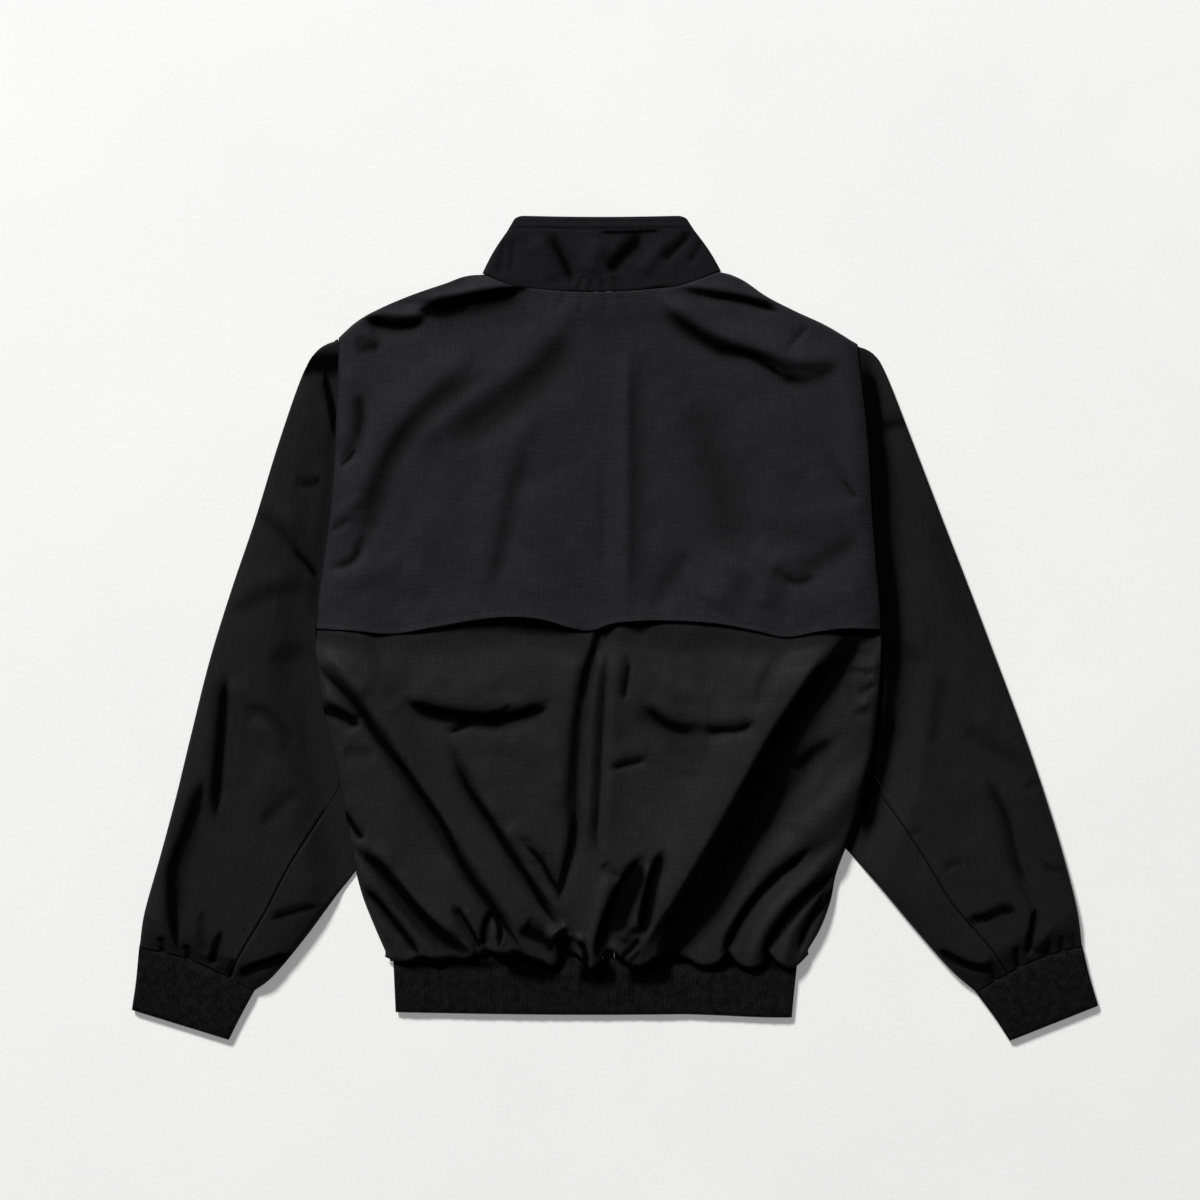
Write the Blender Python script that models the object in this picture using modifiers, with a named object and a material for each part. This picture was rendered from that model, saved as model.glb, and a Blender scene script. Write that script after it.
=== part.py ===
"""Harrington jacket laid flat on a surface with its back up.

Frame: metres, +Z up from the surface, +Y towards the collar, +X towards the wearer's right sleeve.
The origin is at the middle of the jacket's footprint, on the surface.
The tables are in millimetres. The layers, from the surface up: fronts and zip, the inner parts of the
sleeves, the fronts' sides where they pass over the sleeves, the back panel, and the free back yoke.
"""

import math

import bmesh
import bpy
import numpy as np

MM = 0.001

# Cloth and knit
SHELL = 1.4            # shell cloth with its lining, one wall
KNIT = 2.2             # ribbed knit wall
STAND = 2.0            # collar wall
SEAM = 0.3             # gap between pieces at a seam

# The jacket's main lines
CENTRE_X = -14.0       # centre line of the fronts and the zip
SHOULDER_Y = 270.0     # top of the armholes
HEM_SEAM_Y = -312.0    # where the panels meet the hem band
HEM_BOTTOM_Y = -360.0
HEM_SEAM_SAG = 6.0     # how far the hem's seam and the free edge bow down at the middle
HEM_EDGE_SAG = 2.5
HEM_MIDDLE_X = -18.0
HEM_BAND_LEFT = (-208.0, -205.5)    # at the seam and at the free edge
HEM_BAND_RIGHT = (172.0, 166.5)
FRONT_NECK_DROP = 75.0
FRONT_FROM_CENTRE = 14.0            # half the width of the zip with its tapes
LIP = 3.0              # how far the back's sides turn under to meet the fronts
ARMHOLE_GAP = 2.2 * SEAM

# Heights of the layers above the surface
BACK_REST = 3.8        # top of the back panel where it lies under the yoke
YOKE_REST = 6.0        # lowest top of the yoke
SLEEVE_SEAM_Z = 5.6    # top of the sleeves along the armhole seams
SLEEVE_UNDER_Z = 3.4   # top of a sleeve where the body lies on it
FRONT_LIFT = 4.1       # underside of a front where it passes over a sleeve
BODY_OVER_Z = 7.8      # lowest top of the back panel there
HEM_BAND_Z = 8.0
CUFF_Z = 9.0
KNIT_FOLD_Z = 3.8      # middle of the side folds of the cuffs and the hem band
COLLAR_Z = 10.0
COLLAR_FOLD_Z = 3.8
SHOULDER_TIP_Z = 3.0   # the yoke's edge where it turns down at the shoulders

# Body edges from the shoulder points down to the hem seam
BODY_COLUMNS = ("y", "left", "right")
BODY_EDGES = (
    (270, -259, 228),
    (235, -260, 232),
    (200, -261.5, 236),
    (165, -263, 239),
    (130, -265.5, 241),
    (95, -269, 243),
    (60, -274, 246),
    (20, -279, 249.3),
    (-20, -280.3, 250.2),
    (-60, -276, 248.8),
    (-95, -269, 245),
    (-135, -260, 239),
    (-170, -253, 230),
    (-205, -247, 217),
    (-230, -242, 208),
    (-255, -235, 203),
    (-280, -225, 194),
    (-312, -211, 175),
)

# Shoulders and back neck seam, left to right
TOP_COLUMNS = ("x", "y")
TOP_EDGE = (
    (-259, 273), (-245, 286), (-219, 301), (-191, 313), (-159, 324), (-139, 331), (-125, 332),
    (-97, 322), (-66, 318), (-14, 315.5), (30, 318), (62, 322), (80, 328), (101, 334),
    (119, 328), (141, 313), (170, 298), (198, 285), (228, 267),
)

# Scalloped hem of the yoke, left to right: sewn down at the armholes and tacked at two points
YOKE_HEM = (
    (-280, 0), (-245, -2), (-209, -5), (-170, 1), (-123, 9), (-94, 11), (-62, 7), (-42, 1),
    (-22, -2), (-4, 4), (21, 7), (64, 7), (100, 4), (132, -2), (161, -8), (190, -3), (215, 0),
    (250, -1),
)
YOKE_TACKS = ((-209, -5), (161, -8), (-22, -2))

# Sleeve sections from the armhole to the cuff. Each runs from the outer edge to a corner and on to the
# inner edge: near the armhole it follows that seam down, then turns in under the body. Then come the
# height of the puff, the half heights of the rolled outer and inner edges, and the share of the width at
# which the back seam lies.
SLEEVE_COLUMNS = ("outer_x", "outer_y", "corner_x", "corner_y", "inner_x", "inner_y",
                  "puff", "outer_roll", "inner_roll", "seam")
SLEEVE_LEFT = (
    (-260, 272, -281, -34, -228, -62, 6, 2.4, 1.8, 0.90),
    (-279, 261, -287, -40, -225, -74, 8, 3.0, 1.8, 0.90),
    (-293, 238, -293, -46, -222, -88, 10, 3.2, 1.8, 0.89),
    (-315, 175, -303, -53, -219, -104, 12, 3.8, 1.8, 0.88),
    (-338, 100, -313, -62, -217, -124, 14, 4.2, 1.8, 0.86),
    (-360, 35, -320, -78, -216, -150, 15, 4.5, 1.8, 0.82),
    (-380, -30, -325, -102, -221, -182, 16, 4.8, 1.8, 0.775),
    (-397, -98, -322, -158, -238, -220, 17, 5.0, 2.4, 0.726),
    (-412, -160, -337, -206, -262, -252, 18, 5.0, 4.0, 0.708),
    (-427, -216, -358, -253, -290, -290, 19, 5.0, 4.6, 0.72),
    (-441, -266, -380, -296, -320, -326, 19, 4.6, 4.6, 0.745),
    (-446, -299, -392, -319, -338, -340, 8, 3.6, 3.6, 0.80),
)
SLEEVE_RIGHT = (
    (229, 266, 251, -34, 200, -62, 6, 2.4, 1.8, 0.90),
    (244, 257, 257, -40, 197, -74, 8, 3.0, 1.8, 0.90),
    (255, 239, 262, -46, 194, -88, 10, 3.2, 1.8, 0.89),
    (277, 183, 271, -53, 191, -104, 12, 3.8, 1.8, 0.88),
    (307, 105, 281, -62, 189, -124, 14, 4.2, 1.8, 0.85),
    (333, 38, 289, -78, 188, -150, 15, 4.5, 1.8, 0.80),
    (358, -28, 299, -100, 195, -182, 16, 4.8, 1.8, 0.735),
    (382, -92, 304, -152, 222, -212, 17, 5.0, 2.4, 0.725),
    (402, -150, 326, -197, 250, -244, 18, 5.0, 4.0, 0.724),
    (420, -208, 350, -244, 280, -280, 19, 5.0, 4.6, 0.73),
    (434, -262, 374, -291, 315, -320, 19, 4.6, 4.6, 0.70),
    (439, -298, 389, -319, 339, -341, 8, 3.6, 3.6, 0.72),
)
CUFF_BOW = 8.0         # bow of the cuff seams towards the hand

# Cuffs: rows from the seam to the free end, with the outer and inner edge points
CUFF_COLUMNS = ("outer_x", "outer_y", "inner_x", "inner_y", "bow")
CUFF_LEFT = (
    (-446.2, -299.5, -338.2, -340.5, 8),
    (-449, -330, -351, -364, 3),
    (-453, -358, -362, -386, 0),
)
CUFF_RIGHT = (
    (439.2, -298.5, 339.2, -341.5, 8),
    (446, -327, 356, -364, 3),
    (454, -354, 371, -387, 0),
)

# Collar: the ends of its neck seam and of its top edge, and how far its sides bow out
COLLAR_SEAM_X = (-124.0, 100.0)
COLLAR_TOP_X = (-94.0, 68.0)
COLLAR_TOP_Y = 386.0
COLLAR_FRONT_HEIGHT = 63.0
COLLAR_SIDE_BOW = 1.6
NECK_LEFT, NECK_RIGHT = 6, 12      # rows of the shoulder table at which the neck begins and ends

# Folds: where each starts, bends and ends, its half width and its height (a trough is negative), all
# drawn with one depth
FOLD_DEPTH = 1.2
FOLD_COLUMNS = ("start_x", "start_y", "bend_x", "bend_y", "end_x", "end_y", "width", "height")
BACK_FOLDS = (
    # long diagonal creases on the left, each with a ridge on its inner side
    (-272, -36, -196, -124, -76, -300, 13, -5.0),
    (-262, -20, -180, -112, -62, -288, 13, 3.5),
    (-141, -130, -103, -194, -48, -292, 11, -4.5),
    (-128, -126, -88, -192, -32, -284, 10, 3.5),
    (-240, -205, -205, -250, -158, -303, 11, -4.5),
    (-236, -232, -214, -268, -190, -303, 9, -3.5),
    (-222, -196, -186, -238, -140, -296, 12, 3.0),
    # centre
    (-26, -8, -31, -110, -50, -244, 12, -4.5),
    (-10, -14, -8, -140, -4, -225, 12, 3.5),
    (4, -218, -2, -262, -14, -305, 11, -5.0),
    (37, -216, 34, -248, 28, -280, 11, -5.0),
    (20, -222, 16, -262, 8, -306, 11, 4.0),
    (-78, -194, -68, -222, -48, -236, 10, -3.0),
    # the deep diagonal trough on the right with the ridge beside it
    (224, -2, 142, -132, 48, -312, 22, -8.5),
    (192, -10, 112, -132, 14, -308, 18, 5.0),
    (236, -44, 176, -150, 84, -300, 16, 3.0),
    (200, -98, 184, -124, 164, -152, 13, -3.0),
    (168, -216, 138, -262, 106, -308, 12, -5.0),
    (198, -234, 165, -272, 130, -308, 11, -4.5),
    (207, -226, 190, -258, 164, -286, 10, -3.5),
    (186, -206, 154, -256, 118, -308, 10, 3.0),
    # shallow sags below the yoke
    (-190, -70, -140, -94, -66, -72, 11, -2.5),
    (38, -82, 84, -98, 132, -84, 11, -2.5),
    (222, -28, 236, -44, 250, -62, 9, -2.5),
)
YOKE_FOLDS = (
    (-85, 314, -140, 300, -180, 297, 10, -3.4),
    (-176, 287, -202, 286, -228, 287, 8, -2.6),
    (43, 308, 104, 262, 184, 232, 12, -3.6),
    (78, 312, 114, 308, 148, 300, 8, -2.4),
    (-44, 304, -96, 234, -178, 164, 14, 2.6),
    (-112, 240, -188, 190, -240, 70, 14, -2.8),
    (-36, 294, -82, 226, -142, 158, 13, -2.8),
    (10, 262, 10, 140, 10, 14, 11, 2.4),
    (-73, 172, -96, 108, -116, 40, 14, -2.6),
    (-79, 52, -79, 36, -79, 20, 15, 2.6),
    (152, 44, 168, 46, 184, 56, 10, -2.6),
    (113, 58, 100, 44, 90, 26, 13, -2.2),
    (198, 184, 212, 152, 228, 120, 14, -2.4),
    (-242, 222, -240, 184, -258, 152, 11, -2.6),
)
SLEEVE_FOLDS_LEFT = (
    (-389, -142, -411, -210, -408, -300, 12, -6.0),
    (-371, -46, -377, -112, -376, -180, 15, -3.5),
    (-330, 110, -306, 76, -278, 48, 12, -3.5),
    (-366, 6, -326, 24, -282, 42, 11, -3.0),
    (-348, -78, -326, -92, -304, -105, 11, -3.0),
    (-316, -266, -300, -262, -282, -260, 9, -3.0),
    (-300, 136, -288, 137, -276, 137, 9, -2.0),
    (-372, -284, -374, -300, -376, -314, 8, -3.5),
)
SLEEVE_FOLDS_RIGHT = (
    (352, -148, 376, -206, 396, -254, 12, -4.0),
    (392, -268, 390, -288, 386, -308, 9, -4.5),
    (338, -268, 352, -266, 370, -265, 9, -3.0),
    (312, -304, 328, -314, 344, -322, 9, -3.0),
    (264, 160, 290, 84, 322, 0, 15, 3.0),
    (326, -40, 344, -92, 372, -140, 14, -3.0),
    (250, 191, 260, 193, 270, 194, 9, -2.0),
)

# Puff of the back panel between its folds, from the yoke's hem to the hem seam
BACK_PUFF_COLUMNS = ("y", "height")
BACK_PUFF = ((30, 0.0), (6, 0.6), (-12, 3.2), (-40, 8.0), (-110, 9.0), (-200, 11.0), (-262, 14.0),
             (-290, 15.5), (-302, 11.5), (-312, 3.6))

# Grid sizes
SHOULDER_COLUMNS = 10  # columns of the back and the yoke at each shoulder
NECK_COLUMNS = 16
BACK_ROWS_UNDER_YOKE = 4
BACK_ROWS_BELOW = 23
YOKE_ROWS = 16
FRONT_NECK_SHARES = (0.0, 0.33, 0.574, 0.794, 0.955, 1.0)   # from the zip to the end of the neck seam
FRONT_SHOULDER_COLUMNS = 6
FRONT_ROWS = 22
SLEEVE_ROWS = 22
HEM_WAVES = 31         # soft waves of the hem band, two columns each
CUFF_ACROSS = 14


# ---------------------------------------------------------------- curves and folds

def column(rows, names, name):
    """One named column of a table."""
    return np.array([row[names.index(name)] for row in rows], dtype=float)


def smooth_curve(keys, values, at):
    """A smooth curve through a table's values, read at some places."""
    keys, values, at = np.asarray(keys, float), np.asarray(values, float), np.asarray(at, float)
    if keys[0] > keys[-1]:
        keys, values = keys[::-1], values[::-1]
    slopes = np.gradient(values, keys)
    i = np.clip(np.searchsorted(keys, at) - 1, 0, len(keys) - 2)
    step = keys[i + 1] - keys[i]
    t = np.clip((at - keys[i]) / step, 0.0, 1.0)
    return (
        values[i] * (1 + 2 * t) * (1 - t) ** 2
        + slopes[i] * step * t * (1 - t) ** 2
        + values[i + 1] * t * t * (3 - 2 * t)
        + slopes[i + 1] * step * t * t * (t - 1)
    )


def along(points, share):
    """Points of a smooth curve through a row of points, at shares of its length."""
    points = np.array(points, float)
    length = np.concatenate([[0.0], np.cumsum(np.hypot(*np.diff(points, axis=0).T))])
    at = np.asarray(share) * length[-1]
    return smooth_curve(length, points[:, 0], at), smooth_curve(length, points[:, 1], at)


def ease(value):
    """0 below 0, 1 above 1, and a smooth rise between."""
    t = np.clip(value, 0.0, 1.0)
    return t * t * (3 - 2 * t)


def at_least(height, lowest, soften=1.2):
    """Heights that sink softly onto a lowest height."""
    return lowest + soften * np.log1p(np.exp(np.clip((height - lowest) / soften, -30, 30)))


def fold_heights(x, y, folds, samples=14):
    """The sum of a table's folds at some points: each follows a bent path and fades at its ends."""
    total = np.zeros(np.shape(x))
    t = np.linspace(0.0, 1.0, samples + 1)
    for start_x, start_y, bend_x, bend_y, end_x, end_y, width, height in folds:
        middle_x, middle_y = 2 * bend_x - (start_x + end_x) / 2, 2 * bend_y - (start_y + end_y) / 2
        path_x = start_x * (1 - t) ** 2 + 2 * middle_x * t * (1 - t) + end_x * t * t
        path_y = start_y * (1 - t) ** 2 + 2 * middle_y * t * (1 - t) + end_y * t * t
        nearest = np.full(np.shape(x), 1e9)
        share = np.zeros(np.shape(x))
        for k in range(samples):
            dx, dy = path_x[k + 1] - path_x[k], path_y[k + 1] - path_y[k]
            s = np.clip(((x - path_x[k]) * dx + (y - path_y[k]) * dy) / (dx * dx + dy * dy), 0, 1)
            away = np.hypot(x - path_x[k] - s * dx, y - path_y[k] - s * dy)
            closer = away < nearest
            nearest = np.where(closer, away, nearest)
            share = np.where(closer, (k + s) / samples, share)
        fade = ease(share / 0.2 + 0.25) * ease((1 - share) / 0.2 + 0.25)
        total += FOLD_DEPTH * height * fade * np.exp(-((nearest / width) ** 2))
    return total


def body_edge(y, side):
    return smooth_curve(column(BODY_EDGES, BODY_COLUMNS, "y"), column(BODY_EDGES, BODY_COLUMNS, side), y)


# ---------------------------------------------------------------- heights of the layers

def edge_distance(x, y):
    """Distance inside the nearer side edge of the body."""
    return np.minimum(x - body_edge(y, "left"), body_edge(y, "right") - x)


def sleeve_inner_edge(side):
    rows = SLEEVE_LEFT if side == "left" else SLEEVE_RIGHT
    return column(rows, SLEEVE_COLUMNS, "inner_x"), column(rows, SLEEVE_COLUMNS, "inner_y")


def over_sleeve(x, y):
    """1 where the body lies on a sleeve, fading to 0 over a ramp towards the body's middle."""
    ramp, margin = 34.0, 9.0
    cover = np.zeros(np.shape(x))
    for side, out in (("left", -1.0), ("right", 1.0)):
        inner_x, inner_y = sleeve_inner_edge(side)
        reach = np.interp(y, inner_y[::-1], inner_x[::-1])
        inside = out * (x - reach) + margin + ramp
        cover = np.maximum(cover, ease(inside / ramp))
    upper = ease(-y / 30.0)
    lower = ease((y + 312.0) / 40.0)
    return cover * upper * lower


def neck_rise(x, y):
    """The back lies higher over the collar's front, and highest over the zip's slider."""
    over_collar = 1.7 * ease((y - 280.0) / 24.0) * ease((138.0 - np.abs(x - CENTRE_X)) / 22.0)
    return over_collar + 2.4 * np.exp(-(((x - CENTRE_X) / 30.0) ** 2) - (((y - 300.0) / 34.0) ** 2))


def front_bottom(x, y):
    return FRONT_LIFT * over_sleeve(x, y)


def back_top(x, y):
    inside = np.maximum(edge_distance(x, y), 0.0)
    puff = smooth_curve(column(BACK_PUFF, BACK_PUFF_COLUMNS, "y"),
                        column(BACK_PUFF, BACK_PUFF_COLUMNS, "height"), np.clip(y, -312, 30))
    below = ease((-6.0 - y) / 30.0)
    fade_at_band = ease((y + 316.0) / 16.0)
    corner = 0.4 * ease((-240.0 - y) / 60.0) * np.exp(-inside / 25.0)
    rolled = 0.55 + 0.45 * (1 - np.exp(-inside / 11.0)) - corner
    lowest = BACK_REST + (BODY_OVER_Z - BACK_REST) * over_sleeve(x, y) + neck_rise(x, y)
    folds = below * fade_at_band * ease(inside / 16 + 0.1) * fold_heights(x, y, BACK_FOLDS)
    height = lowest + puff * rolled + folds
    return np.where(y > 25, lowest, at_least(height, lowest) - 1.2 * math.log(2) * (1 - below))


def yoke_top(x, y, share):
    """share runs from 0 at the free hem to 1 at the shoulders and the neck."""
    inside = np.maximum(edge_distance(x, y), 0.0)
    roll = 5.0 * (1 - np.exp(-inside / 9.0))
    right_roll = 2.5 * np.exp(-(((body_edge(y, "right") - x - 16) / 14.0) ** 2))
    tacked = sum(np.exp(-(((x - tx) / 26.0) ** 2)) for tx, ty in YOKE_TACKS)
    hem_lift = 3.4 * (1 - 0.75 * np.minimum(tacked, 1)) * np.exp(-share / 0.12) * ease(inside / 30)
    height = YOKE_REST + roll + right_roll + hem_lift + neck_rise(x, y)
    height = height + fold_heights(x, y, YOKE_FOLDS) * ease(inside / 14 + 0.2)
    lowest = YOKE_REST + neck_rise(x, y) + 2.6 * ease((24.0 - y) / 30.0) * ease(inside / 30)
    return at_least(height, lowest, 0.8)


def tube_top(across, width, edge_z, height, flatness=4.0):
    """The upper side of a flattened tube: a quarter round at each fold, then a broad crown. across runs
    from 0 at one fold to 1 at the other."""
    near = np.minimum(across, 1 - across) * width
    quarter = np.sqrt(1 - (1 - np.clip(near / edge_z, 0, 1)) ** 2)
    crown = (1 - np.abs(2 * across - 1) ** flatness) ** 0.6
    lift = np.maximum(height - edge_z, 0.0)
    rolled = np.minimum(lift, edge_z)
    return edge_z + rolled * quarter + (lift - rolled) * crown


def sleeve_top(x, y, across, read, side, folds):
    """across runs from 0 at the outer fold to 1 at the inner fold."""
    out = -1.0 if side == "left" else 1.0
    outside = out * (x - body_edge(np.clip(y, HEM_SEAM_Y, SHOULDER_Y), side))
    under = ease((-8.0 - y) / 26.0)
    seam_z = SLEEVE_SEAM_Z + (SLEEVE_UNDER_Z - SLEEVE_SEAM_Z) * under
    rise = ease((outside - 13.0 * under) / 38.0)
    height = seam_z + np.maximum(read["puff"] - seam_z, 0.0) * rise
    height = at_least(height + rise * fold_heights(x, y, folds), SLEEVE_UNDER_Z, 0.5)
    height = np.where(rise > 0, height, seam_z)
    edge_z = np.minimum(np.where(across < 0.5, read["outer_roll"], read["inner_roll"]), 0.52 * height)
    return tube_top(across, read["width"], edge_z, height)


# ---------------------------------------------------------------- meshes

def material(name, colour, roughness, metallic=0.0):
    made = bpy.data.materials.new(name)
    made.use_nodes = True
    shader = made.node_tree.nodes["Principled BSDF"]
    shader.inputs["Base Color"].default_value = (*colour, 1.0)
    shader.inputs["Roughness"].default_value = roughness
    shader.inputs["Metallic"].default_value = metallic
    return made


def add_object(name, mesh, collection, finish):
    mesh.materials.append(finish)
    mesh.shade_smooth()
    made = bpy.data.objects.new(name, mesh)
    collection.objects.link(made)
    return made


def cloth(name, x, y, z, thickness, collection, finish, closed=False):
    """A wall of cloth on a grid of points in millimetres, whose outer side faces away from the jacket's
    inside. The wall's thickness goes inwards. The columns of a closed grid go all round a tube."""
    rows, columns = x.shape
    points = np.stack([x, y, z], axis=-1).reshape(-1, 3) * MM
    faces = [
        (r * columns + c, r * columns + (c + 1) % columns,
         (r + 1) * columns + (c + 1) % columns, (r + 1) * columns + c)
        for r in range(rows - 1) for c in range(columns if closed else columns - 1)
    ]
    mesh = bpy.data.meshes.new(name)
    mesh.from_pydata(points.tolist(), [], faces)
    made = add_object(name, mesh, collection, finish)
    wall = made.modifiers.new("Wall", "SOLIDIFY")
    wall.thickness = thickness * MM
    wall.offset = -1.0
    wall.use_even_offset = False
    wall.use_rim = True
    return made


# ---------------------------------------------------------------- body panels

def body_grid(top, bottom, share, across):
    """Points between a top and a bottom edge whose sides follow the body's edges."""
    x = top[0] * (1 - share) + bottom[0] * share
    y = top[1] * (1 - share) + bottom[1] * share
    left, right = body_edge(y[:, :1], "left"), body_edge(y[:, -1:], "right")
    left_half, right_half = np.clip(1 - 2 * across, 0, 1), np.clip(2 * across - 1, 0, 1)
    x = x + (left - x[:, :1]) * left_half + (right - x[:, -1:]) * right_half
    return x, y


def shoulder_edge():
    """The top edge of the back, with columns that meet the ends of the neck."""
    parts = (TOP_EDGE[: NECK_LEFT + 1], TOP_EDGE[NECK_LEFT: NECK_RIGHT + 2], TOP_EDGE[NECK_RIGHT + 1:])
    counts = (SHOULDER_COLUMNS, NECK_COLUMNS, SHOULDER_COLUMNS)
    x, y = [np.array([TOP_EDGE[0][0]])], [np.array([TOP_EDGE[0][1]])]
    for part, count in zip(parts, counts):
        part_x, part_y = along(part, np.linspace(0, 1, count + 1)[1:])
        x.append(part_x)
        y.append(part_y)
    x, y = np.concatenate(x), np.concatenate(y)
    return x, y, (x - x[0]) / (x[-1] - x[0])


def hem_seam_y(x):
    """The seam between the panels and the hem band sags a little at its middle."""
    return HEM_SEAM_Y - HEM_SEAM_SAG * np.clip(1 - ((x - HEM_MIDDLE_X) / 200.0) ** 2, 0, 1)


def back_panel(collection, finish):
    """The whole back: flat under the yoke, puffed and folded below it, with a small lip at the sides that
    turns under where the back meets the fronts."""
    top_x, top_y, across = shoulder_edge()
    ends = np.exp(-across / 0.06) + np.exp(-(1 - across) / 0.06)
    neck_corners = sum(np.exp(-(((top_x - TOP_EDGE[k][0]) / 20.0) ** 2)) for k in (NECK_LEFT, NECK_RIGHT + 1))
    top = (top_x, top_y - 5.0 - 5.0 * ends - 19.0 * neck_corners)
    bottom_x = -211.0 + 386.0 * across
    share = np.concatenate([
        0.47 * np.linspace(0, 1, BACK_ROWS_UNDER_YOKE + 1)[:-1],
        0.47 + 0.53 * np.linspace(0, 1, BACK_ROWS_BELOW + 1),
    ])[:, None]
    x, y = body_grid(top, (bottom_x, hem_seam_y(bottom_x)), share, across)
    curled = ease((-6.0 - y[:, [0, -1]]) / 34.0)
    edge = np.concatenate([x[:, :1], x[:, -1:]], axis=1)
    inwards = np.array([1.0, -1.0])
    hidden_gap = SEAM / 2 + 1.2 * ease((y[:, [0, -1]] - 2.0) / 10.0)
    first_inset = 9.0
    width = edge[:, 1:] - edge[:, :1]
    x = edge[:, :1] + first_inset + (x - edge[:, :1]) * (width - 2 * first_inset) / width
    lip_x = edge + inwards * (hidden_gap + LIP * curled)
    side_x = edge + inwards * (hidden_gap + LIP * (1 - curled))
    side_y = y[:, [0, -1]]
    lip_base = front_bottom(edge, side_y) + SHELL + SEAM + 0.7
    z = back_top(x, y)
    plain = back_top(side_x, side_y)
    lip_z = plain * (1 - curled) + lip_base * curled
    side_z = plain * (1 - curled) + (lip_base + 3.3) * curled
    x = np.concatenate([lip_x[:, :1], side_x[:, :1], x, side_x[:, 1:], lip_x[:, 1:]], axis=1)
    y = np.concatenate([side_y[:, :1], side_y[:, :1], y, side_y[:, 1:], side_y[:, 1:]], axis=1)
    z = np.concatenate([lip_z[:, :1], side_z[:, :1], z, side_z[:, 1:], lip_z[:, 1:]], axis=1)
    return cloth("back_panel", x[::-1], y[::-1], z[::-1], SHELL, collection, finish)


def back_yoke(collection, finish):
    """The free back yoke: sewn in at the shoulders, neck and armholes, its scalloped hem standing open."""
    top_x, top_y, across = shoulder_edge()
    hem_x, hem_y = along(YOKE_HEM, across)
    inset = 4.6 / 290.0
    share = np.concatenate([[0.0, inset], np.linspace(inset, 1.0, YOKE_ROWS)[1:]])[:, None]
    x, y = body_grid((top_x, top_y), (hem_x, hem_y), share, across)
    x = x + SEAM / 2 * (1 - 2 * across)
    z = yoke_top(x, y, 1 - share)
    neck = ((top_x > TOP_EDGE[NECK_LEFT][0] - 1) & (top_x < TOP_EDGE[NECK_RIGHT + 1][0] + 1)) * 1.0
    z[0] = SHOULDER_TIP_Z * (1 - neck) + (COLLAR_Z - 1.0) * neck
    z[1] = np.minimum(z[1], 6.8 * (1 - neck) + (COLLAR_Z - 0.5) * neck)
    return cloth("back_yoke", x[::-1], y[::-1], z[::-1], SHELL, collection, finish)


def front_neck_y(x):
    """The front neckline, a deep curve between the ends of the neck seam."""
    left, right = TOP_EDGE[NECK_LEFT], TOP_EDGE[NECK_RIGHT + 1]
    share = np.where(x < CENTRE_X, (x - CENTRE_X) / (left[0] - CENTRE_X), (x - CENTRE_X) / (right[0] - CENTRE_X))
    side = np.where(x < CENTRE_X, left[1], right[1])
    return side - FRONT_NECK_DROP * np.clip(1 - share ** 2, 0, 1) ** 0.6


def front_neck_x(side):
    """Where the columns of a front and of the collar meet along the front neckline."""
    end = TOP_EDGE[NECK_LEFT][0] if side == "left" else TOP_EDGE[NECK_RIGHT + 1][0]
    out = -1.0 if side == "left" else 1.0
    start = CENTRE_X + out * FRONT_FROM_CENTRE
    return start + (end - start) * np.array(FRONT_NECK_SHARES)


def front_panel(side, collection, finish):
    """A plain front, flat on the surface, whose side rises over the sleeve that lies under it."""
    out = -1.0 if side == "left" else 1.0
    neck_x = front_neck_x(side)
    shoulder = TOP_EDGE[: NECK_LEFT + 1][::-1] if side == "left" else TOP_EDGE[NECK_RIGHT + 1:]
    shoulder_x, shoulder_y = along(shoulder, np.linspace(0, 1, FRONT_SHOULDER_COLUMNS + 1)[1:])
    top_x = np.concatenate([neck_x, shoulder_x])
    top_y = np.concatenate([front_neck_y(neck_x), shoulder_y]) - 2 * SEAM
    reach = np.concatenate([
        np.linspace(0, 0.45, len(FRONT_NECK_SHARES)), [0.6, 0.72, 0.82, 0.9, 0.955, 1.0],
    ])
    start_x = CENTRE_X + out * FRONT_FROM_CENTRE
    share = np.linspace(0.0, 1.0, FRONT_ROWS + 1)[:, None] ** 0.85
    hem_x = body_edge(HEM_SEAM_Y, side)
    bottom_x = start_x + (hem_x - start_x) * reach
    y = top_y * (1 - share) + hem_seam_y(bottom_x) * share
    edge = body_edge(np.clip(y[:, -1:], -330, 270), side) - out * SEAM / 2
    plain_x = start_x + (edge - start_x) * reach
    follow = np.clip(1 - share / 0.35, 0, 1) ** 1.5
    x = plain_x * (1 - follow) + top_x * follow
    x[:, -1:] = edge
    z = front_bottom(x, y)
    if side == "right":
        x, y, z = x[:, ::-1], y[:, ::-1], z[:, ::-1]
    return cloth(f"front_{side}", x[::-1], y[::-1], z[::-1], SHELL, collection, finish)


# ---------------------------------------------------------------- sleeves and cuffs

def sleeve_sections(side):
    """The sleeve's table read at even steps from the armhole to the cuff."""
    rows = SLEEVE_LEFT if side == "left" else SLEEVE_RIGHT
    keys = np.arange(len(rows))
    at = np.linspace(0, len(rows) - 1, SLEEVE_ROWS + 1)
    read = {name: smooth_curve(keys, column(rows, SLEEVE_COLUMNS, name), at)[:, None] for name in SLEEVE_COLUMNS}
    read["down"] = (at / (len(rows) - 1))[:, None]
    first = np.hypot(read["corner_x"] - read["outer_x"], read["corner_y"] - read["outer_y"])
    second = np.hypot(read["inner_x"] - read["corner_x"], read["inner_y"] - read["corner_y"])
    read["width"] = first + second
    read["turn"] = first / (first + second)
    return read


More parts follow.
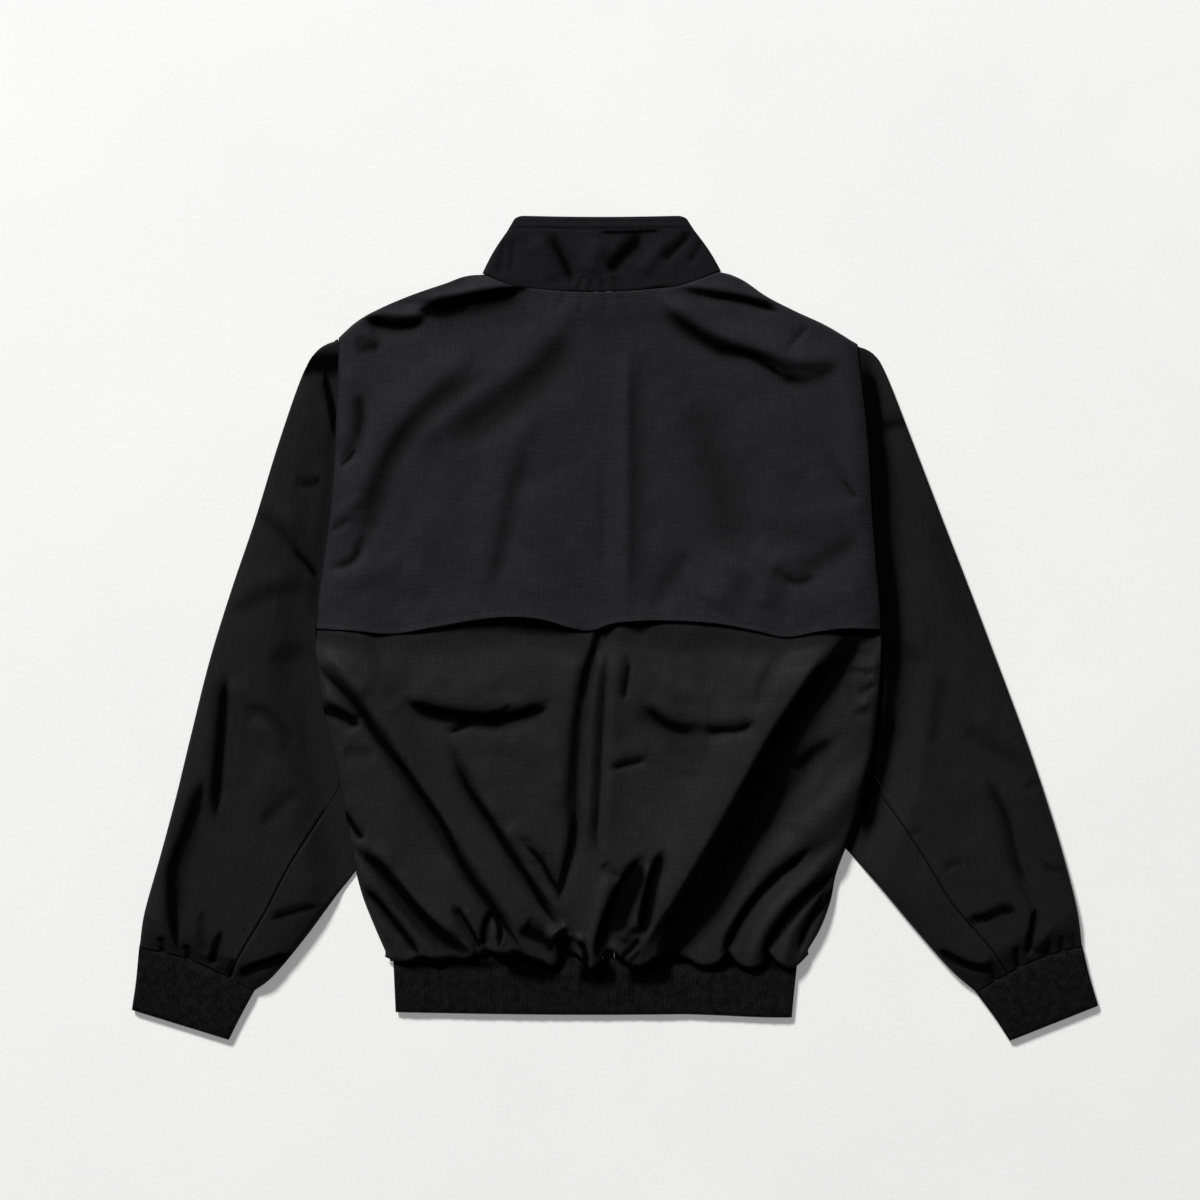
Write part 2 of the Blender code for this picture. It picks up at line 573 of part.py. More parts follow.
def sleeve_points(side, read, across):
    """Points of the sections at shares of their length. The first section follows the armhole."""
    out = -1.0 if side == "left" else 1.0
    turn = read["turn"]
    before, after = np.minimum(across / turn, 1.0), np.maximum((across - turn) / (1 - turn), 0.0)
    x = read["outer_x"] + (read["corner_x"] - read["outer_x"]) * before
    y = read["outer_y"] + (read["corner_y"] - read["outer_y"]) * before
    armhole_x = body_edge(np.minimum(y, SHOULDER_Y), side) + out * ARMHOLE_GAP
    on_armhole = (read["down"] == 0.0) & (y < SHOULDER_Y + 1.0)
    x = np.where(on_armhole, armhole_x, x)
    x = x + (read["inner_x"] - read["corner_x"]) * after
    y = y + (read["inner_y"] - read["corner_y"]) * after
    bow = CUFF_BOW * np.clip((read["down"] - 0.8) / 0.2, 0, 1) * np.sin(math.pi * across) ** 1.2
    return x + 0.35 * bow * out, y + bow * 0.9


def edge_step(roll):
    """How far inside a fold the next point lies, so that the wall can turn without crossing itself."""
    return np.maximum(3.2, 0.9 * roll)


def sleeve_piece(side, piece, collection, finish):
    """The upper piece runs from the hidden seam round the outer fold to the back seam, and the under
    piece from the back seam round the inner fold to the hidden seam. The hidden seam lies along the
    sections' corners, and so does a column of the upper piece's top."""
    read = sleeve_sections(side)
    folds = SLEEVE_FOLDS_LEFT if side == "left" else SLEEVE_FOLDS_RIGHT
    half_gap = 0.8 * SEAM / read["width"]
    if piece == "upper":
        fold, roll = 0.0, read["outer_roll"]
        beside = edge_step(roll) / read["width"]
        bottom_limit = read["turn"] - half_gap
        to_corner = np.array([0.0, 0.10, 0.24, 0.40, 0.58, 0.77, 0.90, 1.0])
        past_corner = np.array([0.33, 0.67, 1.0])
        top_across = np.concatenate([
            beside + (read["turn"] - beside) * to_corner,
            read["turn"] + (read["seam"] - half_gap - read["turn"]) * past_corner,
        ], axis=1)
        under_steps = np.array([0.0, 0.1, 0.2, 0.4, 0.7, 1.0])
    else:
        fold, roll = 1.0, read["inner_roll"]
        beside = 1 - edge_step(roll) / read["width"]
        bottom_limit = read["turn"] + half_gap
        top_across = beside + (read["seam"] + half_gap - beside) * np.array([0.0, 0.34, 0.67, 1.0])
        under_steps = np.array([0.0, 0.33, 0.67, 1.0])
    bottom_across = bottom_limit + (beside - bottom_limit) * under_steps
    across = np.concatenate([bottom_across, fold + 0 * half_gap, top_across], axis=1)
    x, y = sleeve_points(side, read, across)
    z = sleeve_top(x, y, across, read, side, folds)
    z[:, : bottom_across.shape[1]] = 0.0
    if (side == "left") == (piece == "upper"):
        x, y, z = x[::-1], y[::-1], z[::-1]
    return cloth(f"sleeve_{side}_{piece}", x, y, z, SHELL, collection, finish)


def cuff(side, collection, finish):
    """A flattened tube of ribbed knit."""
    rows = CUFF_LEFT if side == "left" else CUFF_RIGHT
    out = -1.0 if side == "left" else 1.0
    at = np.linspace(0, len(rows) - 1, 5)
    read = {name: smooth_curve(range(len(rows)), column(rows, CUFF_COLUMNS, name), at)[:, None]
            for name in CUFF_COLUMNS}
    width = np.hypot(read["inner_x"] - read["outer_x"], read["inner_y"] - read["outer_y"])
    beside = edge_step(KNIT_FOLD_Z) / width
    over = np.linspace(0, 1, CUFF_ACROSS - 1)
    under = np.linspace(1, 0, 6)
    across = np.concatenate([
        0 * width, beside + (1 - 2 * beside) * over, 1 + 0 * width, beside + (1 - 2 * beside) * under,
    ], axis=1)
    marks = np.array([1] + [0] * len(over) + [1] + [2] * len(under))[None, :]
    x = read["outer_x"] + (read["inner_x"] - read["outer_x"]) * across
    y = read["outer_y"] + (read["inner_y"] - read["outer_y"]) * across
    bow = read["bow"] * np.sin(math.pi * across) ** 1.2
    x, y = x + 0.35 * bow * out, y + 0.9 * bow
    down = (at / (len(rows) - 1))[:, None]
    top = tube_top(across, width, KNIT_FOLD_Z, CUFF_Z - 1.6 * down)
    z = np.where(marks == 2, 0.0, np.where(marks == 1, KNIT_FOLD_Z, top))
    if side == "left":
        x, y, z = x[:, ::-1], y[:, ::-1], z[:, ::-1]
    return cloth(f"cuff_{side}", x, y, z, KNIT, collection, finish, closed=True)


# ---------------------------------------------------------------- bands with a break at the centre front

def hem_band(collection, finish):
    """The band runs from the zip out to the left side, over the back to the right side, and under to the
    zip again. Its back swells in soft waves where the knit is drawn in."""
    down = np.linspace(0.0, 1.0, 4)[:, None]
    left = HEM_BAND_LEFT[0] + (HEM_BAND_LEFT[1] - HEM_BAND_LEFT[0]) * down
    right = HEM_BAND_RIGHT[0] + (HEM_BAND_RIGHT[1] - HEM_BAND_RIGHT[0]) * down
    over = np.concatenate([[0.0, 0.012], np.linspace(0.03, 0.97, 2 * HEM_WAVES - 3), [0.988, 1.0]])
    under = np.linspace(1.0, 0.06, 5)
    zip_left, zip_right = CENTRE_X - FRONT_FROM_CENTRE, CENTRE_X + FRONT_FROM_CENTRE
    x = np.concatenate([
        left + (zip_left - left) * under, left + (right - left) * over, right + (zip_right - right) * under[::-1],
    ], axis=1)
    marks = np.array([2] * 5 + [1] + [0] * (len(over) - 2) + [1] + [2] * 5)[None, :]
    across = (x - left) / (right - left)
    top_y = hem_seam_y(x) - SEAM
    bottom_y = HEM_BOTTOM_Y - HEM_EDGE_SAG * np.sin(math.pi * across) - 5.0 * ease((across - 0.7) / 0.3)
    y = top_y + (bottom_y - top_y) * down
    wave = 0.45 * np.where(np.arange(x.shape[1]) % 2 == 0, 1.0, -1.0)[None, :]
    top = tube_top(np.clip(across, 0, 1), right - left, KNIT_FOLD_Z, HEM_BAND_Z - 1.2 * down + wave, 24.0)
    z = np.where(marks == 2, 0.0, np.where(marks == 1, KNIT_FOLD_Z, top))
    return cloth("hem_band", x[::-1], y[::-1], z[::-1], KNIT, collection, finish)


def collar(collection, finish):
    """A stand collar folded flat: its back over its front, open at the centre front. It starts at the
    zip, runs under to the left fold, over the back, and under from the right fold."""
    up = np.linspace(0.0, 1.0, 6)[:, None]
    width = (COLLAR_SEAM_X[1] - COLLAR_SEAM_X[0]) * (1 - up) + (COLLAR_TOP_X[1] - COLLAR_TOP_X[0]) * up
    beside = edge_step(COLLAR_FOLD_Z) / width
    over = np.concatenate([0 * up, beside + (1 - 2 * beside) * np.linspace(0, 1, 17), 1 + 0 * up], axis=1)
    seam_x = COLLAR_SEAM_X[0] + (COLLAR_SEAM_X[1] - COLLAR_SEAM_X[0]) * over
    top_x = COLLAR_TOP_X[0] + (COLLAR_TOP_X[1] - COLLAR_TOP_X[0]) * over
    shoulder_x, shoulder_y, _ = shoulder_edge()
    seam_y = np.interp(seam_x, shoulder_x, shoulder_y) + SEAM + 1.2 * np.abs(2 * over - 1) ** 8
    bow = COLLAR_SIDE_BOW * np.sin(math.pi * np.clip(up * 1.3, 0, 1)) * (2 * over - 1)
    back_x = seam_x + (top_x - seam_x) * up + bow
    back_y = seam_y + (COLLAR_TOP_Y - 1.2 * np.sin(math.pi * over) - seam_y) * up
    back_z = tube_top(over, width, COLLAR_FOLD_Z, COLLAR_Z - 2.2 * up, 6.0)
    sheets = []
    for side, fold_x in (("left", back_x[:, :1]), ("right", back_x[:, -1:])):
        neck_x = front_neck_x(side)[:-1]
        front_x = neck_x[0] + (fold_x - neck_x[0]) * np.array(FRONT_NECK_SHARES[:-1])
        front_y = front_neck_y(neck_x) + SEAM + COLLAR_FRONT_HEIGHT * up
        sheets.append((front_x, front_y))
    (left_x, left_y), (right_x, right_y) = sheets
    x = np.concatenate([left_x, back_x, right_x[:, ::-1]], axis=1)
    y = np.concatenate([left_y, back_y, right_y[:, ::-1]], axis=1)
    z = np.concatenate([0 * left_x, back_z, 0 * right_x], axis=1)
    return cloth("collar", x, y, z, STAND, collection, finish)


# ---------------------------------------------------------------- zip

def plate(name, outline, low, high, collection, finish, bevel=0.0):
    """A flat outline in millimetres, as thick as the step from low to high."""
    mesh = bpy.data.meshes.new(name)
    shape = bmesh.new()
    corners = [shape.verts.new((x * MM, y * MM, high * MM)) for x, y in outline]
    face = shape.faces.new(corners)
    if face.normal.z < 0 or sum(
        x0 * y1 - x1 * y0 for (x0, y0), (x1, y1) in zip(outline, outline[1:] + outline[:1])
    ) < 0:
        face.normal_flip()
    shape.to_mesh(mesh)
    shape.free()
    made = add_object(name, mesh, collection, finish)
    wall = made.modifiers.new("Thickness", "SOLIDIFY")
    wall.thickness = (high - low) * MM
    wall.offset = -1.0
    if bevel:
        rounded = made.modifiers.new("Rounded", "BEVEL")
        rounded.width = bevel * MM
        rounded.segments = 1
    return made


def zip_pieces(collection, tape_finish, metal_finish):
    """A closed zip between the fronts, from the hem band's end to the collar's top edge."""
    bottom, teeth_top, tape_top = HEM_BOTTOM_Y + 4.0, 300.0, 316.0
    teeth, slider = 2.8, 4.6
    plate("zip_teeth", [(CENTRE_X - teeth, bottom), (CENTRE_X + teeth, bottom),
                        (CENTRE_X + teeth, teeth_top), (CENTRE_X - teeth, teeth_top)],
          0.0, 2.0, collection, metal_finish)
    for side, out in (("left", -1.0), ("right", 1.0)):
        inner, outer = CENTRE_X + out * (teeth + SEAM), CENTRE_X + out * (FRONT_FROM_CENTRE - SEAM)
        beside = CENTRE_X + out * (slider + SEAM)
        outline = [(inner, bottom), (outer, bottom), (outer, tape_top), (beside, tape_top),
                   (beside, teeth_top), (inner, teeth_top)]
        plate(f"zip_tape_{side}", outline if side == "right" else outline[::-1], 0.1, 1.1, collection, tape_finish)
    low, high = teeth_top + SEAM, teeth_top + 12.0
    plate("zip_slider", [(CENTRE_X - 3.2, low), (CENTRE_X + 3.2, low), (CENTRE_X + slider, high - 4),
                         (CENTRE_X + 3.4, high), (CENTRE_X, high - 3), (CENTRE_X - 3.4, high),
                         (CENTRE_X - slider, high - 4)],
          0.2, 3.8, collection, metal_finish, bevel=0.4)


def build():
    for old in list(bpy.data.objects):
        bpy.data.objects.remove(old, do_unlink=True)
    jacket = bpy.data.collections.new("harrington_jacket")
    bpy.context.scene.collection.children.link(jacket)
    shell = material("black_cotton_blend_twill", (0.012, 0.012, 0.013), 0.62)
    knit = material("black_ribbed_knit", (0.009, 0.009, 0.009), 0.85)
    tape = material("black_polyester_zip_tape", (0.010, 0.010, 0.010), 0.75)
    teeth = material("dark_nickel_plated_brass", (0.20, 0.20, 0.20), 0.35, 1.0)
    back_panel(jacket, shell)
    back_yoke(jacket, shell)
    for side in ("left", "right"):
        front_panel(side, jacket, shell)
        sleeve_piece(side, "upper", jacket, shell)
        sleeve_piece(side, "under", jacket, shell)
        cuff(side, jacket, knit)
    hem_band(jacket, knit)
    collar(jacket, shell)
    zip_pieces(jacket, tape, teeth)


build()
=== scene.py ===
# %% [markdown]
# # A harrington jacket, laid flat with its back up
#
# A harrington is a short zipped jacket of tightly woven cotton blend twill. This one is black and lies
# face down on a pale floor. From the floor up there are the two fronts with the zip between them, the
# sleeves, the back panel, and the back yoke, a flap whose scalloped hem hangs free so that rain runs off.
# The cuffs and the hem band are rib knit, which draws the cloth in and makes it blouse.
#
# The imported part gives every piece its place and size. This file dresses it: each piece of cloth is
# rebuilt as a thin shell on a fine grid, with its folds, seams, stitches and weave.

# %% The frame
import math

import bpy
import numpy as np
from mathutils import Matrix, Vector


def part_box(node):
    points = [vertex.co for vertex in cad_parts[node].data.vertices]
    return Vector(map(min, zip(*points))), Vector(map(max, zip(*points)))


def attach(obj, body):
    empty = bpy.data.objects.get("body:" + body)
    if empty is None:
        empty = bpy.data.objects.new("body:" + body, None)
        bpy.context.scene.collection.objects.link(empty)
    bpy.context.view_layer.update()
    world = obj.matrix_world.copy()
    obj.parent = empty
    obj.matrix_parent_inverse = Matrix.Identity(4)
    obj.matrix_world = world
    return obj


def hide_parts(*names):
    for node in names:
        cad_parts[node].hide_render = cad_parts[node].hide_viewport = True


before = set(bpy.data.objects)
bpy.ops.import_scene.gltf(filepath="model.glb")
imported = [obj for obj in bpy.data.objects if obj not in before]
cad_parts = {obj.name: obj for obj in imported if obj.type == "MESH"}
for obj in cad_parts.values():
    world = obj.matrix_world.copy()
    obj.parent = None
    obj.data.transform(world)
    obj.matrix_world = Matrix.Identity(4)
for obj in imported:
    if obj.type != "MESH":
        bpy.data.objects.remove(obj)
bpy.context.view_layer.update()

print("nodes in the frame:", len(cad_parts))

# %% [markdown]
# ## Units and the layout grid
#
# Blender works in metres, but a pattern cutter thinks in millimetres, so every table here is in
# millimetres and is multiplied by MM at the end. Folds are easier to place on a grid laid over the whole
# garment, as a pattern is laid out on squared paper: one step is 0.94 mm, counted from the upper left
# corner of the table, and on_cloth turns such steps into millimetres from the middle of the jacket.

# %% Units
MM = 0.001
STEP = 0.94                 # one step of the layout grid
GRID_MIDDLE = (614.5, 628.5)


def on_cloth(points):
    return [((x - GRID_MIDDLE[0]) * STEP, (GRID_MIDDLE[1] - y) * STEP) for x, y in points]


# %% [markdown]
# ## Curves that folds and edges follow
#
# Cloth has no corners between its seams, so every edge and fold is a smooth curve through a few points.
# ease is the S curve that blends one height into another, bell is a smooth bump, and quarter_round is the
# outline of a rolled fold. at_least lets one layer settle softly on the layer below instead of cutting
# through it.

# %% Curves
def smooth_curve(keys, values, at):
    keys, values, at = np.asarray(keys, float), np.asarray(values, float), np.asarray(at, float)
    if keys[0] > keys[-1]:
        keys, values = keys[::-1], values[::-1]
    slopes = np.gradient(values, keys)
    i = np.clip(np.searchsorted(keys, at) - 1, 0, len(keys) - 2)
    step = keys[i + 1] - keys[i]
    t = np.clip((at - keys[i]) / step, 0.0, 1.0)
    return (values[i] * (1 + 2 * t) * (1 - t) ** 2 + slopes[i] * step * t * (1 - t) ** 2
            + values[i + 1] * t * t * (3 - 2 * t) + slopes[i + 1] * step * t * t * (t - 1))


def curve_through(points, at):
    return smooth_curve(*zip(*points), at)


def along(points, share):
    points = np.array(points, float)
    length = np.concatenate([[0.0], np.cumsum(np.hypot(*np.diff(points, axis=0).T))])
    at = np.asarray(share) * length[-1]
    return smooth_curve(length, points[:, 0], at), smooth_curve(length, points[:, 1], at)


def ease(value):
    t = np.clip(value, 0.0, 1.0)
    return t * t * (3 - 2 * t)


def bell(distance, width):
    return np.exp(-((distance / width) ** 2))


def quarter_round(share):
    return np.sqrt(1 - (1 - np.clip(share, 0, 1)) ** 2)


def at_least(height, lowest, soften):
    return lowest + soften * np.log1p(np.exp(np.clip((height - lowest) / soften, -30, 30)))


print("one step of the layout grid is", STEP, "mm")

# %% [markdown]
# ## How a fold is drawn
#
# A fold is a path with a height. A ridge has a positive height and a trough a negative one. Real folds
# are seldom even: cloth falls off steeply on one side and slowly on the other, so each side of the path
# has its own width. A pressed crease or the bottom of a pinched trough is sharp, and a draped one is
# round, which the crisp share says. Left and right are meant as seen by someone who walks the path.
#
# So each row of a fold table is its height, its left and right widths, its crisp share and its path. A row
# without a crisp share is quite round. Where a fold lies over itself, shade is painted into the cloth's
# colour: the rows of such places start with how dark that painted shade is.

# %% Folds
FOLD_SAMPLES = 26           # straight pieces in which a path is measured
FOLD_REACH = 2.8            # a fold is felt as far as this many of its widths
FOLD_FADE = 0.22            # share of the path in which either end rises to the full height
FOLD_START = 0.12           # how far that rise has come where the path begins
FOLD_TAPER = 0.6            # width of the ends, as a share of the full width


def fold_heights(x, y, folds):
    total = np.zeros(np.shape(x))
    for height, left, right, *crisp, path in folds:
        crisp = crisp[0] if crisp else 0.0
        path_x, path_y = along(on_cloth(path), np.linspace(0, 1, FOLD_SAMPLES + 1))
        reach = FOLD_REACH * max(left, right)
        near = ((x > path_x.min() - reach) & (x < path_x.max() + reach)
                & (y > path_y.min() - reach) & (y < path_y.max() + reach))
        if not near.any():
            continue
        px, py = x[near], y[near]
        nearest = np.full(px.shape, 1e9)
        share, side = np.zeros(px.shape), np.zeros(px.shape)
        for k in range(FOLD_SAMPLES):
            dx, dy = path_x[k + 1] - path_x[k], path_y[k + 1] - path_y[k]
            s = np.clip(((px - path_x[k]) * dx + (py - path_y[k]) * dy) / (dx * dx + dy * dy + 1e-9), 0, 1)
            away_x, away_y = px - path_x[k] - s * dx, py - path_y[k] - s * dy
            away = np.hypot(away_x, away_y)
            closer = away < nearest
            nearest = np.where(closer, away, nearest)
            share = np.where(closer, (k + s) / FOLD_SAMPLES, share)
            side = np.where(closer, dx * away_y - dy * away_x, side)
        fade = ease(share / FOLD_FADE + FOLD_START) * ease((1 - share) / FOLD_FADE + FOLD_START)
        width = np.where(side > 0, left, right) * (FOLD_TAPER + (1 - FOLD_TAPER) * fade)
        crisp_shape = np.exp(-(np.sqrt(nearest ** 2 + 1.0) - 1.0) * 1.25 / width)
        total[near] += height * fade * ((1 - crisp) * bell(nearest, width) + crisp * crisp_shape)
    return total


def painted_shade_map(x, y, folds, shaded, full=6.0):
    """Painted shade: 0 on open cloth, 1 at the bottom of a trough at least `full` mm deep or where shaded
    says so.
    """
    troughs = [fold for fold in folds if fold[0] < 0]
    return np.clip(-fold_heights(x, y, troughs) / full + fold_heights(x, y, shaded), 0, 1)


# %% [markdown]
# ## Small crumples
#
# Between its folds, worn and packed twill is never quite even. A sum of gentle waves in many directions,
# with lengths from 16 to 80 mm, gives that unevenness, and shorter ones on top of them the small puckers.
# Every seed is fixed, so that it is always the same.

# %% Crumples
CRUMPLE_WAVES = 42


def crumple(x, y, seed, shortest=16.0, longest=80.0):
    chance = np.random.default_rng(seed)
    total = np.zeros(np.shape(x))
    for _ in range(CRUMPLE_WAVES):
        angle, phase = chance.uniform(0, math.pi), chance.uniform(0, 2 * math.pi)
        length = shortest * (longest / shortest) ** chance.uniform()
        turned = (x * math.cos(angle) + y * math.sin(angle)) * 2 * math.pi / length + phase
        across = (x * math.sin(angle) - y * math.cos(angle)) * 2 * math.pi / (2.7 * length)
        total += (length / longest) * np.sin(turned + 0.9 * np.sin(across + 2 * phase))
    return total / math.sqrt(CRUMPLE_WAVES)


def uneven(x, y, coarse, coarse_seed, fine, fine_seed):
    waves = coarse * crumple(x, y, coarse_seed)
    return waves + fine * crumple(x, y, fine_seed, shortest=9.0, longest=24.0)


# %% [markdown]
# ## From a grid of points to cloth
#
# Each piece is a grid of points, rows by columns, joined by four-sided faces. Its outer side faces away
# from the inside of the jacket, and Solidify gives it its thickness inwards. The grid also carries a UV
# map in metres of cloth, so that the weave follows each piece as it was cut.

# %% Cloth from grids
CLOTH_THICKNESS = 1.1


def placed(name, data):
    made = bpy.data.objects.new(name, data)
    bpy.context.scene.collection.objects.link(made)
    return made


def keep_on_points(mesh, name, values):
    kept = mesh.attributes.new(name, "FLOAT", "POINT")
    kept.data.foreach_set("value", values.astype(np.float32).ravel())


def cloth(name, x, y, z, finish, nodes, thickness=CLOTH_THICKNESS, closed=False, grain=None,
          painted_shade=None, ribs_at=None):
    rows, columns = x.shape
    faces = [
        (r * columns + c, r * columns + (c + 1) % columns,
         (r + 1) * columns + (c + 1) % columns, (r + 1) * columns + c)
        for r in range(rows - 1) for c in range(columns if closed else columns - 1)
    ]
    mesh = bpy.data.meshes.new(name)
    mesh.from_pydata((np.stack([x, y, z], axis=-1).reshape(-1, 3) * MM).tolist(), [], faces)
    grain_x, grain_y = grain if grain is not None else (x, y)
    flat = np.stack([grain_x.ravel(), grain_y.ravel()], axis=-1) * MM
    loops = np.empty(len(mesh.loops), dtype=np.int32)
    mesh.loops.foreach_get("vertex_index", loops)
    weave = mesh.uv_layers.new(name="weave")
    weave.data.foreach_set("uv", flat[loops].astype(np.float32).ravel())
    mesh.shade_smooth()
    made = placed(name, mesh)
    mesh.materials.append(finish)
    # the mask of painted shade, which the finishes blend to near black
    if painted_shade is not None:
        keep_on_points(mesh, "painted_shade", painted_shade)
    if ribs_at is not None:
        raise_ribs(made, ribs_at, finish)
    wall = made.modifiers.new("Wall", "SOLIDIFY")
    wall.thickness, wall.offset = thickness * MM, -1.0
    wall.use_even_offset, wall.use_rim = False, True
    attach(made, "root")
    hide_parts(*nodes)
    print(f"{name}: {rows} x {columns} points")
    return made


# %% [markdown]
# ## Colour and nodes
#
# Colours are written as a designer picks them, in sRGB hex, and turned to the linear values that a
# renderer adds up. Every material is made of nodes, and a few small functions add one node each, with
# its settings and links, and give back what it puts out: a sum, a blend, noise, a relief.

# %% Colour and node helpers
def linear(hex_colour):
    parts = [int(hex_colour[i:i + 2], 16) / 255 for i in (1, 3, 5)]
    return tuple(p / 12.92 if p <= 0.04045 else ((p + 0.055) / 1.055) ** 2.4 for p in parts) + (1.0,)


def set_inputs(node, inputs):
    """Each input gets a link if it is given a socket, and else its constant value."""
    for name, value in inputs.items():
        if isinstance(value, bpy.types.NodeSocket):
            node.id_data.links.new(value, node.inputs[name])
        else:
            node.inputs[name].default_value = value


def add_node(tree, kind, inputs=None, **settings):
    made = tree.nodes.new(kind)
    for name, value in settings.items():
        setattr(made, name, value)
    set_inputs(made, inputs or {})
    return made


def maths(tree, operation, *values):
    return add_node(tree, "ShaderNodeMath", dict(enumerate(values)), operation=operation).outputs[0]


def noise(tree, place, scale, detail, kind="FBM", **more):
    inputs = {"Vector": place, "Scale": scale, "Detail": detail, **more}
    return add_node(tree, "ShaderNodeTexNoise", inputs, noise_type=kind).outputs["Fac"]


def blend(tree, share, first, second):
    inputs = {0: share, 6: first, 7: second}
    return add_node(tree, "ShaderNodeMix", inputs, data_type="RGBA").outputs[2]


def spread(tree, value, **limits):
    inputs = {"Value": value} | {name.replace("_", " "): limit for name, limit in limits.items()}
    return add_node(tree, "ShaderNodeMapRange", inputs).outputs[0]


def relief(tree, height, strength, distance, under=None, **settings):
    inputs = {"Height": height, "Strength": strength, "Distance": distance}
    if under is not None:
        inputs["Normal"] = under
    return add_node(tree, "ShaderNodeBump", inputs, **settings).outputs["Normal"]


def wave_along(tree, place, direction, pitch):
    """A sine wave whose crests lie across a direction."""
    way = add_node(tree, "ShaderNodeVectorMath", {0: place, 1: direction}, operation="DOT_PRODUCT")
    return maths(tree, "SINE", maths(tree, "MULTIPLY", way.outputs["Value"], 2 * math.pi / pitch))


def new_material(name):
    made = bpy.data.materials.new(name)
    made.use_nodes = True
    return made, made.node_tree, made.node_tree.nodes["Principled BSDF"]


# %% [markdown]
# ## The shell: black cotton blend twill
#
# The shell cloth is a cotton and polyester twill, dyed black and lightly calendered, which means pressed
# between hot rollers. That gives the eye a dark, close surface with a faint satin bloom where it turns
# to the light, and nearly nothing where it turns away. Twill shows fine diagonal lines about 0.6 mm
# apart. They are too fine to show here, so they are drawn 1.7 mm apart. Uneven yarns add short streaks
# along the warp and the weft.

# %% Twill
TWILL_PITCH = 0.0017        # real: 0.0006
SLUB_LENGTH = 0.030         # how long a thicker stretch of yarn is


def paint_shade_in_hollows(tree, colour, roughness):
    """Painted shade: the colour goes near black and dull where the mesh's mask of painted shade is high."""
    painted_shade = add_node(tree, "ShaderNodeAttribute", attribute_name="painted_shade").outputs["Fac"]
    dulled = add_node(tree, "ShaderNodeMix", {0: painted_shade, 2: roughness, 3: 1.0}, data_type="FLOAT")
    return {"Base Color": blend(tree, painted_shade, colour, linear("#010101")), "Roughness": dulled.outputs[0]}


def twill(name, dark, light, roughness, shine, creased):
    made, tree, shader = new_material(name)
    flat = add_node(tree, "ShaderNodeUVMap", uv_map="weave").outputs["UV"]
    lines = wave_along(tree, flat, (0.86, 0.52, 0.0), TWILL_PITCH)
    streaks = []
    for stretch in ((1.0, 0.06, 1.0), (0.06, 1.0, 1.0)):
        drawn = add_node(tree, "ShaderNodeVectorMath", {0: flat, 1: stretch}, operation="MULTIPLY")
        streaks.append(noise(tree, drawn.outputs[0], 1 / (0.045 * SLUB_LENGTH), 2.0, Roughness=0.6))
    slub = maths(tree, "ADD", *streaks)
    weave = maths(tree, "MULTIPLY_ADD", lines, 0.16, slub)
    rough = maths(tree, "MULTIPLY_ADD", noise(tree, flat, 620.0, 2.0), 1.1, weave)
    tone = maths(tree, "MULTIPLY_ADD", noise(tree, flat, 26.0, 5.0, Roughness=0.62), 0.55, rough)
    share = spread(tree, tone, From_Min=1.25, From_Max=2.45)
    colour = blend(tree, share, linear(dark), linear(light))
    gloss = spread(tree, share, To_Min=roughness + 0.06, To_Max=roughness - 0.06)
    # small sharp creases from wear: ridged noise, whose crests are thin lines
    wear = noise(tree, flat, 22.0, 3.0, kind="RIDGED_MULTIFRACTAL", Roughness=0.5, Distortion=0.5)
    creases = relief(tree, wear, creased, 0.0012)
    soft = relief(tree, noise(tree, flat, 70.0, 3.0, Roughness=0.55), 0.3, 0.0008, creases)
    threads = relief(tree, rough, 0.6, 0.00024, soft)
    set_inputs(shader, paint_shade_in_hollows(tree, colour, gloss) | {"Normal": threads})
    set_inputs(shader, {"IOR": 1.47, "Specular IOR Level": shine})
    return made


# lit and shaded copies of one twill: painted lighter on the yoke, darker on the sleeves and collar
yoke_twill = twill("black_twill_yoke", "#161617", "#28282a", 0.56, 0.035, creased=0.30)
body_twill = twill("black_twill_body", "#141415", "#252526", 0.56, 0.035, creased=1.0)
sleeve_twill = twill("black_twill_sleeve", "#111112", "#202021", 0.60, 0.03, creased=0.70)
collar_twill = twill("black_twill_collar", "#0f0f10", "#1b1b1d", 0.62, 0.03, creased=0.55)
print("twill lines every", TWILL_PITCH * 1000, "mm")

# %% [markdown]
# ## The knit: black two by two rib
#
# The bands are a firm rib knit of cotton with a little elastane. Its loops stand up as fine cords, which
# the mesh has, and between them the knit is fuzzy and takes nearly all the light. It is the darkest and
# dullest of the finishes. Single loops are about 1.2 mm, and the bump draws them as short cells.

# %% Rib knit
LOOP_SIZE = 0.0016          # real: 0.0012


def rib_knit(name, dark, light):
    made, tree, shader = new_material(name)
    flat = add_node(tree, "ShaderNodeUVMap", uv_map="weave").outputs["UV"]
    cells = {"Vector": flat, "Scale": 1 / LOOP_SIZE, "Randomness": 0.75}
    loops = add_node(tree, "ShaderNodeTexVoronoi", cells).outputs["Distance"]
    fuzz = noise(tree, flat, 420.0, 4.0)
    mixed = maths(tree, "ADD", fuzz, noise(tree, flat, 130.0, 4.0))
    colour = blend(tree, spread(tree, mixed, From_Min=0.72, From_Max=1.28), linear(dark), linear(light))
    hairs = relief(tree, fuzz, 0.4, 0.0003, relief(tree, loops, 0.6, 0.0005, invert=True))
    set_inputs(shader, paint_shade_in_hollows(tree, colour, 0.8) | {"Normal": hairs})
    set_inputs(shader, {"Specular IOR Level": 0.02})
    return made


knit_cloth = rib_knit("black_rib_knit", "#080808", "#19191a")

# %% [markdown]
# ## Thread, zip tape and zip metal
#
# The jacket is sewn with black polyester thread, which is smoother than the cloth and so catches more
# light. The zip has a woven polyester tape and teeth of brass plated with dark nickel: a metal, so its
# colour is the colour of its reflections, and plating and wear leave it a little uneven.

# %% Thread, tape and metal
TAPE_PITCH = 0.0012         # between the tape's slanting threads; real: 0.0005


